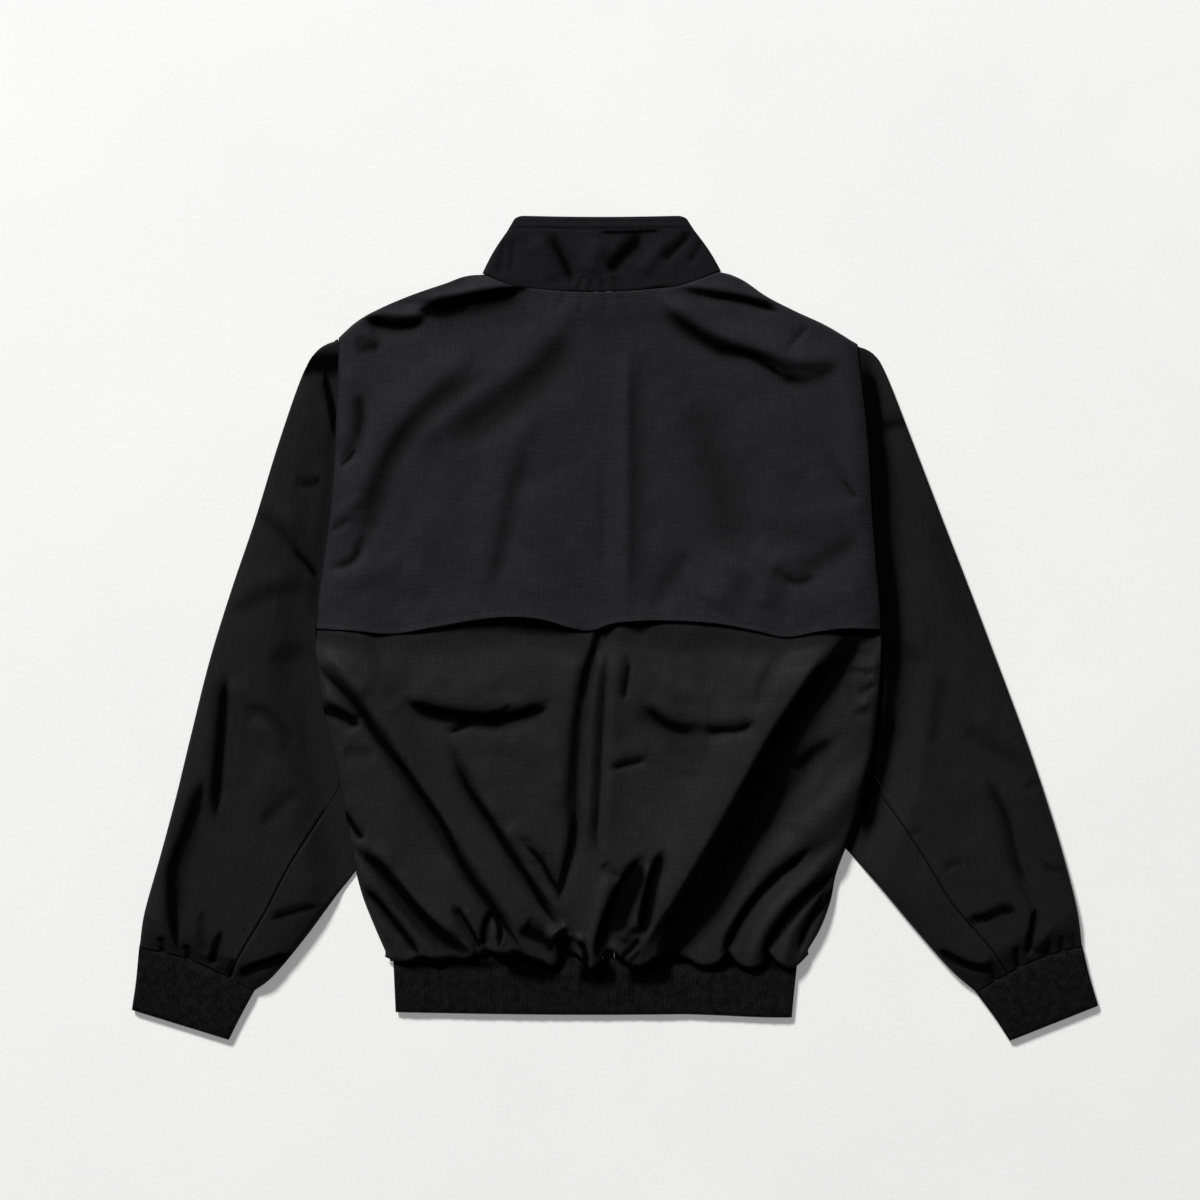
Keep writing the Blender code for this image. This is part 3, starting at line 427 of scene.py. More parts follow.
def spun_thread(name):
    made, tree, shader = new_material(name)
    place = add_node(tree, "ShaderNodeTexCoord").outputs["Object"]
    twist = noise(tree, place, 900.0, 2.0)
    colour = blend(tree, twist, linear("#101011"), linear("#28282a"))
    set_inputs(shader, {"Base Color": colour, "Normal": relief(tree, twist, 0.5, 0.0002)})
    set_inputs(shader, {"Roughness": 0.5, "Specular IOR Level": 0.2})
    return made


def woven_tape(name):
    made, tree, shader = new_material(name)
    place = add_node(tree, "ShaderNodeTexCoord").outputs["Object"]
    lines = wave_along(tree, place, (0.7, 0.7, 0.0), TAPE_PITCH)
    colour = blend(tree, spread(tree, lines, From_Min=-1.0), linear("#121213"), linear("#232324"))
    set_inputs(shader, {"Base Color": colour, "Normal": relief(tree, lines, 0.4, 0.0002)})
    set_inputs(shader, {"Roughness": 0.7})
    return made


def plated_brass(name):
    made, tree, shader = new_material(name)
    place = add_node(tree, "ShaderNodeTexCoord").outputs["Object"]
    worn = noise(tree, place, 350.0, 3.0)
    colour = blend(tree, worn, linear("#4a4846"), linear("#76736f"))
    set_inputs(shader, {"Base Color": colour, "Roughness": spread(tree, worn, To_Min=0.24, To_Max=0.42)})
    set_inputs(shader, {"Metallic": 1.0})
    return made


thread = spun_thread("black_polyester_thread")
tape_cloth = woven_tape("black_polyester_zip_tape")
zip_metal = plated_brass("dark_nickel_plated_brass")
print("materials:", len(bpy.data.materials))

# %% [markdown]
# ## The jacket's lines
#
# These are the lines that a cutter would draw first: the two side edges of the body, the shoulders with
# the back neck, and the scalloped hem of the yoke. The heights say how the layers lie on each other.

# %% Lines and heights
OUT = {"left": -1.0, "right": 1.0}
CENTRE_X = -14.0
SHOULDER_Y = 270.0
HEM_SEAM_Y = -312.0
HEM_BOTTOM_Y = -360.0
BODY_COLUMNS = ("y", "left", "right")
BODY_EDGES = (
    (270, -259, 228), (235, -260, 232), (200, -261.5, 236), (165, -263, 239), (130, -265.5, 241),
    (95, -269, 243), (60, -274, 246), (20, -279, 249.3), (-20, -280.3, 250.2), (-60, -276, 248.8),
    (-95, -269, 245), (-135, -260, 239), (-170, -253, 230), (-205, -247, 217), (-230, -242, 208),
    (-255, -235, 203), (-280, -225, 194), (-312, -211, 175),
)
TOP_EDGE = (                # the left shoulder, the neck and the right shoulder
    (-259, 273), (-245, 286), (-219, 301), (-191, 313), (-159, 324), (-139, 331), (-125, 332),
    (-97, 322), (-66, 318), (-14, 315.5), (30, 318), (62, 322), (80, 328), (101, 334),
    (119, 328), (141, 313), (170, 298), (198, 285), (228, 267),
)
SHOULDERS = {"left": TOP_EDGE[6::-1], "right": TOP_EDGE[13:]}       # each from the neck outwards
NECK_X = (-125.0, 101.0)
YOKE_HEM = (
    (-280, 0), (-245, -2), (-209, -5), (-170, 1), (-123, 9), (-94, 11), (-62, 7), (-42, 1),
    (-22, -2), (-4, 4), (21, 7), (64, 7), (100, 4), (132, -2), (161, -8), (190, -3), (215, 0),
    (250, -1),
)
YOKE_TACKS_X = (-209, 161, -22)
FRONT_FROM_CENTRE = 14.0    # from the middle of the zip to a front's edge
FRONT_EDGE_X = {side: CENTRE_X + out * FRONT_FROM_CENTRE for side, out in OUT.items()}

FRONT_LIFT = 4.1            # underside of a front where it passes over a sleeve
BACK_REST = 3.8             # the back panel's top where it lies under the yoke
BODY_OVER_Z = 7.8           # the back panel's lowest top over a sleeve
YOKE_REST = 6.0             # the yoke's lowest top
SLEEVE_SEAM_Z = 5.6         # the sleeve's top at the armhole
SLEEVE_UNDER_Z = 3.4        # the sleeve's top where the body lies on it
COLLAR_Z = 10.0


def column(rows, names, name):
    return np.array([row[names.index(name)] for row in rows], dtype=float)


def body_edge(y, side):
    return smooth_curve(column(BODY_EDGES, BODY_COLUMNS, "y"), column(BODY_EDGES, BODY_COLUMNS, side), y)


def top_edge(x):
    return curve_through(TOP_EDGE, x)


def yoke_hem(x):
    return curve_through(YOKE_HEM, x)


def hem_seam_y(x):
    return HEM_SEAM_Y - 6.0 * np.clip(1 - ((x + 18.0) / 200.0) ** 2, 0, 1)


def edge_distance(x, y):
    return np.minimum(x - body_edge(y, "left"), body_edge(y, "right") - x)


chest = body_edge(0, "right") - body_edge(0, "left")
print(f"chest at the yoke's hem: {float(chest):.0f} mm")

# %% [markdown]
# ## Where the sleeves lie
#
# A set-in sleeve is a tube that narrows to the cuff. Laid flat it is two layers with a rolled fold along
# each side. Its sections are rows of a table: each runs from the outer edge to a corner and on to the
# inner edge, because near the armhole the sleeve turns in under the body. The last columns give the
# height of the puff, the half heights of the two folds, and where the back seam runs.

# %% Sleeve sections
SLEEVE_COLUMNS = ("outer_x", "outer_y", "corner_x", "corner_y", "inner_x", "inner_y",
                  "puff", "outer_roll", "inner_roll", "seam")
SLEEVE_LEFT = (
    (-260, 272, -281, -34, -228, -62, 6, 2.4, 1.8, 0.90),
    (-279, 261, -287, -40, -225, -74, 8, 3.0, 1.8, 0.90),
    (-293, 238, -293, -46, -222, -88, 10, 3.2, 1.8, 0.89),
    (-315, 175, -303, -53, -219, -104, 12, 3.8, 1.8, 0.88),
    (-338, 100, -313, -62, -217, -124, 14, 4.2, 1.8, 0.86),
    (-360, 35, -320, -78, -216, -150, 15, 4.5, 1.8, 0.82),
    (-380, -30, -325, -102, -221, -182, 16, 4.8, 1.8, 0.775),
    (-397, -98, -322, -158, -238, -220, 17, 5.0, 2.4, 0.726),
    (-412, -160, -337, -206, -262, -252, 18, 5.0, 4.0, 0.708),
    (-427, -216, -358, -253, -290, -290, 19, 5.0, 4.6, 0.72),
    (-441, -266, -380, -296, -320, -326, 19, 4.6, 4.6, 0.745),
    (-446, -299, -392, -319, -338, -340, 8, 3.6, 3.6, 0.80),
)
SLEEVE_RIGHT = (
    (229, 266, 251, -34, 200, -62, 6, 2.4, 1.8, 0.90),
    (244, 257, 257, -40, 197, -74, 8, 3.0, 1.8, 0.90),
    (255, 239, 262, -46, 194, -88, 10, 3.2, 1.8, 0.89),
    (277, 183, 271, -53, 191, -104, 12, 3.8, 1.8, 0.88),
    (307, 105, 281, -62, 189, -124, 14, 4.2, 1.8, 0.85),
    (333, 38, 289, -78, 188, -150, 15, 4.5, 1.8, 0.80),
    (358, -28, 299, -100, 195, -182, 16, 4.8, 1.8, 0.735),
    (382, -92, 304, -152, 222, -212, 17, 5.0, 2.4, 0.725),
    (402, -150, 326, -197, 250, -244, 18, 5.0, 4.0, 0.724),
    (420, -208, 350, -244, 280, -280, 19, 5.0, 4.6, 0.73),
    (434, -262, 374, -291, 315, -320, 19, 4.6, 4.6, 0.70),
    (439, -298, 389, -319, 339, -341, 8, 3.6, 3.6, 0.72),
)
SLEEVES = {"left": SLEEVE_LEFT, "right": SLEEVE_RIGHT}


def over_sleeve(x, y):
    """1 where the body lies on a sleeve, fading to 0 towards the body's middle."""
    ramp, margin = 34.0, 9.0
    cover = np.zeros(np.shape(x))
    for side, rows in SLEEVES.items():
        inner_x, inner_y = (column(rows, SLEEVE_COLUMNS, name) for name in ("inner_x", "inner_y"))
        reach = np.interp(y, inner_y[::-1], inner_x[::-1])
        cover = np.maximum(cover, ease((OUT[side] * (x - reach) + margin + ramp) / ramp))
    return cover * ease(-y / 30.0) * ease((y - HEM_SEAM_Y) / 40.0)


def neck_rise(x, y):
    """The back lies higher over the collar's front, and highest over the zip's slider."""
    over_collar = 1.7 * ease((y - 280.0) / 24.0) * ease((138.0 - np.abs(x - CENTRE_X)) / 22.0)
    return over_collar + 2.4 * np.exp(-(((x - CENTRE_X) / 30.0) ** 2) - (((y - 300.0) / 34.0) ** 2))


print("sleeve length on the outer edge:", round(math.dist(SLEEVE_LEFT[0][:2], SLEEVE_LEFT[-1][:2])), "mm")

# %% [markdown]
# ## The back panel
#
# Below the yoke the back blouses: the hem band is 38 cm wide and the cloth above it 53 cm, so the spare
# width falls in long diagonal folds that run in from both sides to the middle of the hem. The deepest is
# on the right, where a high ridge drops into a wide hollow. Two shallow sags lie under the yoke. A cloth
# simulation would make folds, but not these folds, so each one is placed one by one.

# %% The back panel's folds
BACK_PUFF = ((30, 0.0), (6, 0.6), (-12, 4.2), (-40, 8.0), (-110, 9.0), (-200, 10.5), (-262, 12.5),
             (-290, 13.0), (-330, 12.0))
HEM_GAPS = (                # how far the yoke's hem stands above the back, along its length
    (-280, 1.6), (-238, 1.8), (-222, 3.2), (-208, 1.5), (-185, 3.0), (-150, 4.4), (-110, 5.6), (-75, 6.4),
    (-48, 5.0), (-30, 2.4), (-21, 1.5), (-10, 5.6), (4, 3.4), (24, 5.6), (40, 3.6), (90, 3.0), (130, 2.4),
    (161, 1.5), (185, 2.4), (205, 3.8), (224, 7.0), (240, 5.4), (252, 2.8),
)
BACK_FOLDS = (
    # the long crease on the left and its ridge
    (-9.0, 5, 6, 0.6, [(310, 656), (321, 668), (346, 690), (370, 722), (395, 758), (424, 802), (452, 847),
                       (479, 888), (505, 924), (522, 956)]),
    (6.5, 17, 6, 0.2, [(322, 645), (356, 688), (384, 725), (410, 762), (438, 806), (466, 849), (494, 890),
                       (520, 926), (542, 966)]),
    # the second crease, with a thin raised lip on its lower half
    (-8.0, 5, 6, 0.5, [(450, 740), (466, 780), (477, 802), (495, 828), (511, 850), (528, 879), (547, 905),
                       (564, 930)]),
    (6.0, 8, 4, 0.4, [(476, 785), (498, 820), (516, 850), (536, 880), (556, 906), (572, 930)]),
    (3.0, 16, 10, [(470, 760), (500, 800), (532, 846), (556, 886)]),
    (3.5, 9, 12, [(440, 850), (470, 892), (500, 930), (530, 975)]),
    # two creases above the left corner of the hem
    (-8.0, 5, 6, 0.4, [(352, 846), (374, 860), (392, 885), (411, 912), (430, 932), (450, 947), (480, 958)]),
    (4.6, 14, 5, 0.2, [(372, 844), (398, 872), (420, 900), (444, 922), (470, 938)]),
    (-5.5, 4, 4, 0.5, [(362, 884), (374, 898), (389, 915), (404, 932), (420, 958)]),
    (3.2, 6, 6, 0.1, [(366, 870), (392, 900), (416, 930), (444, 966)]),
    (-4.5, 4, 4, 0.4, [(344, 806), (354, 826), (366, 840)]),
    (2.5, 6, 6, [(354, 860), (366, 890), (380, 920), (396, 950)]),
    # the left edge under the yoke
    (-5.5, 4, 7, 0.3, [(316, 705), (338, 712), (362, 727)]),
    (3.6, 9, 5, [(320, 694), (340, 703), (364, 716)]),
    (4.0, 12, 12, [(322, 640), (345, 668), (372, 696)]),
    (-2.6, 9, 8, 0.1, [(374, 632), (384, 676), (400, 706)]),
    (-2.0, 8, 8, [(345, 750), (362, 756), (376, 752)]),
    # the sag on the left, which hangs over its own lower edge
    (4.6, 26, 8, [(404, 692), (430, 703), (470, 709), (508, 709), (550, 696)]),
    (-4.6, 7, 12, 0.1, [(400, 699), (428, 712), (455, 717), (481, 720), (500, 721), (520, 716), (556, 700)]),
    (-2.8, 3, 4, 0.4, [(446, 733), (458, 727), (474, 720)]),
    # the sag on the right, shallower
    (2.6, 24, 8, [(648, 700), (680, 718), (710, 720), (750, 712)]),
    (-2.6, 7, 12, 0.1, [(640, 704), (660, 724), (682, 731), (705, 729)]),
    (-3.4, 4, 7, 0.4, [(700, 730), (717, 730), (738, 728), (757, 721)]),
    # the centre
    (-5.5, 7, 5, 0.2, [(600, 626), (594, 648), (586, 680), (580, 715), (576, 754), (573, 800), (573, 836),
                       (567, 866), (557, 896)]),
    (4.6, 8, 5, 0.2, [(606, 628), (597, 671), (591, 715), (590, 764), (588, 808), (586, 850)]),
    (2.8, 9, 16, [(582, 640), (570, 690), (562, 760), (556, 820)]),
    (-2.4, 4, 4, 0.6, [(607, 650), (603, 715), (600, 765), (598, 806), (597, 847), (603, 872)]),
    (3.0, 12, 5, 0.1, [(616, 640), (613, 700), (610, 780), (607, 850)]),
    (-3.2, 4, 4, 0.7, [(603, 862), (611, 872), (620, 876)]),
    (-3.6, 5, 4, 0.6, [(516, 834), (537, 850), (553, 877), (560, 892)]),
    (2.6, 10, 8, [(505, 826), (524, 842), (540, 862)]),
    (-3.0, 5, 4, 0.5, [(628, 652), (626, 675), (621, 702)]),
    (-2.8, 4, 4, 0.5, [(608, 768), (627, 764), (648, 759)]),
    (1.6, 9, 7, [(612, 757), (630, 753), (650, 749)]),
    # two black tucks right of the middle, with a lip between them
    (-10.0, 7, 6, 0.2, [(645, 854), (636, 866), (622, 888), (611, 915), (598, 958)]),
    (-9.5, 5, 6, 0.2, [(664, 848), (660, 860), (653, 880), (649, 904), (643, 935)]),
    (4.0, 4, 4, 0.3, [(650, 858), (645, 880), (638, 905), (632, 930)]),
    (5.0, 7, 6, 0.1, [(620, 940), (630, 924), (643, 922)]),
    (3.5, 10, 6, [(610, 870), (602, 900), (594, 940), (592, 975)]),
    # the high ridge on the right and the hollow beside it
    (12.0, 8, 40, 0.15, [(842, 618), (806, 672), (770, 726), (737, 784), (704, 842), (672, 895), (650, 930),
                         (634, 966)]),
    (-8.5, 19, 11, [(868, 618), (832, 676), (802, 728), (776, 782), (748, 840), (716, 896), (690, 932),
                    (668, 975)]),
    (3.0, 9, 12, [(818, 700), (800, 745), (786, 790)]),
    (-3.0, 10, 9, [(845, 730), (805, 770), (780, 800), (760, 850)]),
    (6.0, 14, 14, [(872, 750), (838, 800), (800, 838), (766, 868), (738, 905), (714, 966)]),
    (-6.8, 6, 5, 0.5, [(812, 846), (794, 863), (772, 880), (755, 899), (739, 924), (724, 962)]),
    (4.5, 8, 7, 0.1, [(838, 842), (806, 880), (780, 905), (762, 930), (748, 972)]),
    (-6.0, 5, 5, 0.6, [(846, 862), (832, 874), (810, 891), (788, 915), (772, 937), (760, 964)]),
    (3.4, 6, 5, 0.1, [(830, 884), (806, 908), (790, 932), (782, 972)]),
    (-4.5, 5, 4, 0.5, [(836, 876), (819, 902), (808, 924), (797, 956)]),
    (-2.2, 7, 6, 0.1, [(786, 646), (772, 666), (764, 682), (755, 712)]),
    # small puckers at the right edge
    (-2.0, 3.5, 4, 0.2, [(848, 646), (860, 652), (876, 652)]),
    (1.4, 4, 4, 0.1, [(850, 664), (864, 668), (878, 662)]),
    (-1.8, 4, 3.5, 0.2, [(847, 674), (858, 671), (872, 675)]),
    (-2.4, 4, 3.5, 0.3, [(856, 694), (866, 690), (876, 684)]),
    (1.8, 4, 4, 0.1, [(852, 702), (862, 704), (870, 698)]),
    (-1.4, 4, 4, 0.2, [(852, 712), (860, 714), (868, 710)]),
    (-1.6, 3, 4, 0.2, [(850, 682), (852, 696), (858, 708)]),
    # small creases across the two upper fields
    (-0.7, 6, 8, 0.1, [(640, 650), (662, 644), (690, 652)]),
    (-0.8, 9, 6, 0.1, [(684, 640), (700, 664), (706, 694)]),
    (-0.8, 6, 9, 0.1, [(648, 680), (668, 698), (700, 706)]),
    (1.0, 9, 9, [(658, 676), (684, 690), (716, 692)]),
    (-0.7, 6, 8, 0.1, [(712, 684), (732, 700), (760, 700)]),
    (-0.9, 5, 8, 0.1, [(650, 760), (676, 774), (706, 776)]),
    (-0.8, 8, 6, 0.1, [(470, 706), (494, 692), (524, 694)]),
    (-0.7, 8, 7, 0.1, [(416, 706), (438, 690), (462, 692)]),
    (1.0, 10, 9, [(508, 738), (536, 748), (564, 742)]),
    (-0.9, 9, 8, 0.1, [(494, 750), (522, 764), (542, 790)]),
    # left of the middle at the hem: loops where the cloth is drawn in
    (-6.0, 4, 4, 0.5, [(453, 903), (462, 918), (474, 938), (482, 960)]),
    (3.5, 4, 5, 0.3, [(464, 905), (474, 922), (484, 944)]),
    (-6.5, 4, 4, 0.4, [(494, 908), (488, 922), (484, 948)]),
    (-4.0, 3, 3, 0.4, [(497, 912), (501, 924), (500, 944)]),
    (-4.5, 8, 7, 0.1, [(524, 924), (536, 930), (546, 934)]),
    (4.5, 4, 4, 0.2, [(550, 950), (550, 936), (560, 926), (570, 922)]),
    (-8.0, 8, 8, 0.1, [(572, 934), (568, 948), (566, 968)]),
    (5.0, 4, 4, 0.3, [(578, 930), (586, 948), (592, 972)]),
    (-4.5, 3, 3, 0.3, [(583, 940), (586, 954), (588, 966)]),
    (3.0, 2.4, 2.4, 0.2, [(552, 942), (556, 930), (566, 926), (573, 938), (574, 952)]),
    (3.4, 2.4, 2.4, 0.2, [(578, 948), (585, 961), (594, 967)]),
    (2.8, 2.2, 2.2, 0.2, [(502, 918), (505, 932), (502, 946)]),
    (3.4, 4, 3, 0.2, [(616, 964), (629, 955), (640, 944)]),
)
BACK_SHADED = (             # painted shade where a fold lies over itself or over its neighbour
    (2.1, 2.0, 2.8, [(318, 662), (330, 676), (346, 691), (361, 706), (375, 731), (402, 763), (424, 793),
                     (447, 827), (460, 857), (483, 891), (504, 919), (520, 944), (530, 960)]),
    (2.1, 1.8, 2.6, [(458, 764), (468, 786), (482, 806), (496, 827), (507, 846), (527, 874), (541, 898),
                     (552, 915), (564, 927)]),
    (2.0, 3.2, 4.2, [(358, 850), (380, 864), (400, 885), (421, 909), (438, 926), (455, 939), (476, 953)]),
    (2.0, 2.0, 2.6, [(366, 886), (380, 900), (397, 922), (411, 939), (422, 955)]),
    (1.8, 2.0, 2.2, [(346, 810), (354, 824), (364, 838)]),
    (2.0, 2.6, 3.6, [(320, 708), (332, 711), (346, 716), (361, 725)]),
    # the sags, each with a soft painted shade above it
    (0.5, 13, 3, [(402, 700), (430, 709), (462, 716), (500, 716), (530, 708)]),
    (0.35, 16, 6, [(632, 706), (656, 722), (690, 732), (724, 730)]),
    (0.3, 9, 12, [(660, 738), (690, 748), (712, 742)]),
    (1.7, 4.5, 5.5, [(408, 700), (426, 709), (450, 715), (475, 718), (495, 720), (516, 717)]),
    (1.6, 2.6, 3.0, [(500, 719), (518, 716), (534, 712), (548, 705)]),
    (1.3, 1.8, 1.8, [(450, 732), (462, 727), (480, 720)]),
    (1.0, 2.0, 2.0, [(486, 712), (500, 710), (512, 704)]),
    (0.7, 5.0, 4.0, [(645, 705), (660, 718), (676, 727), (694, 730)]),
    (1.5, 2.0, 2.6, [(706, 731), (722, 729), (738, 728), (752, 722)]),
    # the centre
    (1.9, 2.8, 3.2, [(602, 622), (594, 646), (587, 670), (582, 700)]),
    (0.45, 3.0, 5.0, [(586, 676), (580, 710), (577, 750), (575, 800), (573, 840)]),
    (1.9, 2.8, 3.4, [(575, 812), (573, 840), (566, 868), (557, 900)]),
    (0.6, 1.6, 1.8, [(606, 660), (602, 720), (600, 765), (598, 806), (597, 842), (603, 858), (612, 863)]),
    (1.5, 2.2, 2.2, [(524, 842), (538, 855), (551, 877), (560, 893)]),
    (0.8, 2.2, 3.0, [(629, 660), (626, 682), (623, 702)]),
    (0.9, 1.8, 2.2, [(611, 768), (624, 764), (644, 759)]),
    # painted shade in the two black tucks
    (2.4, 4.6, 4.2, [(643, 863), (632, 876), (620, 892), (611, 908), (605, 926), (599, 944), (596, 962)]),
    (1.6, 9.0, 7.0, [(640, 862), (632, 884), (624, 904), (614, 934)]),
    (2.4, 3.4, 3.8, [(662, 854), (655, 872), (650, 894), (646, 914), (643, 934)]),
    (1.6, 3.0, 3.0, [(640, 934), (632, 944), (622, 954), (612, 962)]),
    # painted shade in the hollow beside the high ridge
    (2.4, 9, 9, [(866, 626), (848, 644), (824, 679), (800, 710), (785, 737), (772, 768), (764, 786)]),
    (2.4, 12, 13, [(786, 737), (771, 772), (757, 802), (743, 830), (725, 861), (706, 893), (680, 926),
                   (664, 952), (656, 976)]),
    (0.6, 5, 6, [(832, 738), (810, 752), (792, 770)]),
    (2.0, 3.0, 3.8, [(786, 868), (762, 888), (746, 908), (733, 927), (720, 954)]),
    (2.0, 3.0, 3.8, [(834, 873), (810, 894), (788, 917), (772, 938), (760, 957)]),
    (1.7, 2.4, 2.4, [(834, 884), (821, 906), (808, 922), (798, 946)]),
    # painted shade in the drawn-in loops at the hem
    (1.7, 1.8, 1.8, [(455, 916), (459, 909), (466, 919), (474, 932), (482, 948)]),
    (1.9, 2.0, 2.0, [(485, 946), (485, 926), (492, 912), (499, 921), (501, 932), (498, 948)]),
    (1.2, 6, 6, [(516, 926), (534, 933), (556, 944)]),
    (1.9, 5, 5, [(558, 932), (562, 944), (563, 962)]),
    (1.7, 2.6, 2.6, [(578, 936), (584, 948), (588, 962)]),
    (1.4, 3.0, 3.0, [(608, 946), (613, 953), (617, 960), (622, 966)]),
)


UNDER_YOKE_Y = 25.0         # above this line the back lies flat under the yoke
SOFTEN = 0.8                # how softly the body's cloth settles on what lies below


def back_height(x, y):
    """The back's top. `below` is 0 under the yoke and rises to 1 where the back comes out from under it."""
    inside = np.maximum(edge_distance(x, y), 0.0)
    puff = curve_through(BACK_PUFF, np.clip(y, BACK_PUFF[-1][0], BACK_PUFF[0][0]))
    below = ease((-6.0 - y) / 30.0)
    lowest = BACK_REST + (BODY_OVER_Z - BACK_REST) * over_sleeve(x, y) + neck_rise(x, y)
    rolled = 0.55 + 0.45 * (1 - np.exp(-inside / 11.0))
    folds = below * ease(inside / 12 + 0.25) * fold_heights(x, y, BACK_FOLDS)
    crumples = below * uneven(x, y, 0.45, 11, 0.10, 5)
    height = at_least(lowest + puff * rolled + folds + crumples, lowest, SOFTEN)
    height = np.where(y > UNDER_YOKE_Y, lowest, height - SOFTEN * math.log(2) * (1 - below))
    # under the yoke's hem the back comes up to meet it
    hem_y = yoke_hem(x)
    meet = yoke_height(x, hem_y) - curve_through(HEM_GAPS, x)
    near = np.where(y > hem_y, ease(1 - (y - hem_y) / 16.0), ease(1 - (hem_y - 2.0 - y) / 34.0))
    return np.where(y > UNDER_YOKE_Y, height, height + (np.maximum(meet, lowest) - height) * near)


# %% [markdown]
# ## The back panel's edges
#
# At the hem the cloth is gathered onto the band: between its tucks it swells out and hangs over the knit,
# so its lower edge is scalloped and rolls under. At the sides it rolls down to the fronts.

# %% The back panel
HEM_PUFFS = (               # the gathered lower edge, on the layout grid
    (386, 956), (398, 960), (414, 960), (422, 956), (436, 959), (452, 958), (470, 957), (480, 953),
    (486, 949), (495, 952), (506, 953), (516, 951), (526, 955), (540, 960), (556, 963), (562, 953),
    (571, 951), (581, 959), (591, 968), (598, 961), (605, 950), (613, 952), (625, 962), (640, 965),
    (650, 959), (664, 955), (682, 957), (698, 965), (714, 962), (725, 953), (733, 962), (745, 967),
    (756, 964), (763, 954), (774, 963), (790, 966), (797, 960), (803, 954),
)
HEM_ROLL = 5.5              # how far the hem reaches down as it rolls under
HEM_ROLL_Z = 5.2            # the rolled hem's underside
HEM_ENDS = (-214.0, 177.5)  # left and right ends of the rolled hem
SIDE_ROLL = 8.0             # width of the roll along each side
BACK_COLUMNS = 232


def hem_edge_y(x):
    points = np.array(on_cloth(HEM_PUFFS))
    spots = np.arange(points[0, 0], points[-1, 0], 1.5)
    smooth = smooth_curve(points[:, 0], points[:, 1], spots)
    return np.interp(x, spots, smooth)


def spaced(*stretches):
    """Places along an edge: each stretch gives its end and the step that leads there."""
    places = [0.0]
    for end, step in stretches:
        count = max(1, round((end - places[-1]) / step))
        places.extend(np.linspace(places[-1], end, count + 1)[1:])
    return np.array(places)


def between_edges(inner_columns, edge_places, left, right):
    """Columns between two side edges: at fixed places near the edges and evenly spread between them."""
    middle = np.linspace(0, 1, inner_columns)[None, :]
    near_left, near_right = left + edge_places[None, :], right - edge_places[None, ::-1]
    start, end = near_left[:, -1:], near_right[:, :1]
    return np.concatenate([near_left[:, :-1], start + (end - start) * middle, near_right[:, 1:]], axis=1)


def back_panel():
    edge_places = np.array([0.2, 0.8, 1.8, 3.2, 5.0, 7.0, 9.0])
    under = np.array([262.0, 210.0, 150.0, 90.0, 45.0])
    below = np.concatenate([under, np.linspace(26.0, 12.0, 6)])[:, None]
    shares = np.linspace(0, 1, 170)[1:, None]
    x = between_edges(BACK_COLUMNS, edge_places, body_edge(below, "left"), body_edge(below, "right"))
    y = below + 0 * x
    bottom_x = between_edges(BACK_COLUMNS, edge_places, *(np.array([[end]]) for end in HEM_ENDS))
    start_y, end_y = below[-1, 0], hem_edge_y(bottom_x) + HEM_ROLL
    lower_y = start_y + (end_y - start_y) * shares
    side_left = body_edge(np.clip(lower_y[:, :1], HEM_SEAM_Y, SHOULDER_Y), "left")
    side_right = body_edge(np.clip(lower_y[:, -1:], HEM_SEAM_Y, SHOULDER_Y), "right")
    lower_x = between_edges(BACK_COLUMNS, edge_places, side_left, side_right)
    x, y = np.concatenate([x, lower_x]), np.concatenate([y, lower_y])
    z = back_height(x, y)
    # roll down to the fronts at the sides
    inside = np.minimum(x - x[:, :1], x[:, -1:] - x) + edge_places[0]
    base = SLEEVE_UNDER_Z + 2.4 + FRONT_LIFT * over_sleeve(x, y) * 0.5
    curled = ease((-2.0 - y) / 20.0)
    z = z * (1 - curled) + (base + np.maximum(z - base, 0) * quarter_round(inside / SIDE_ROLL)) * curled
    # roll under at the hem
    last_x, last_y, last_z = x[-1:], y[-1:], z[-1:]
    turn = np.radians([18, 36, 54, 72, 90, 110, 135])[:, None]
    middle, half = (last_z + HEM_ROLL_Z) / 2, (last_z - HEM_ROLL_Z) / 2
    roll_y = last_y - HEM_ROLL * np.sin(turn)
    roll_z = middle + half * np.cos(turn)
    # the yoke's hem throws a painted shadow on the back, which reaches farther where the hem stands higher
    reach = 0.4 + 0.22 * curve_through(HEM_GAPS, x) ** 2
    painted_hem_shadow = np.where(y > -30.0, np.clip(2.0 - (yoke_hem(x) - y) / reach, 0, 1), 0.0)
    # painted shade in the back's folds, together with the hem's painted shadow
    painted_shade = np.maximum(painted_shade_map(x, y, BACK_FOLDS, BACK_SHADED, full=12.0), painted_hem_shadow)
    # painted shade deepens as the hem rolls under
    painted_shade = np.concatenate([painted_shade, np.maximum(painted_shade[-1:], np.sin(turn / 1.6) ** 2)])
    x = np.concatenate([x, last_x + 0 * turn])
    y, z = np.concatenate([y, roll_y]), np.concatenate([z, roll_z])
    return cloth("back_panel_cloth", x[::-1], y[::-1], z[::-1], body_twill, ["back_panel"],
                 painted_shade=painted_shade[::-1])


# %% [markdown]
# ## The back yoke
#
# The yoke is a second layer over the shoulders. It is sewn in at the neck, the shoulders and the
# armholes, and tacked to the back at three points, so between them its faced hem stands a few
# millimetres clear and throws a shadow. Its folds are soft: draping lines from the neck, and one crease
# down the centre where it was folded for packing.

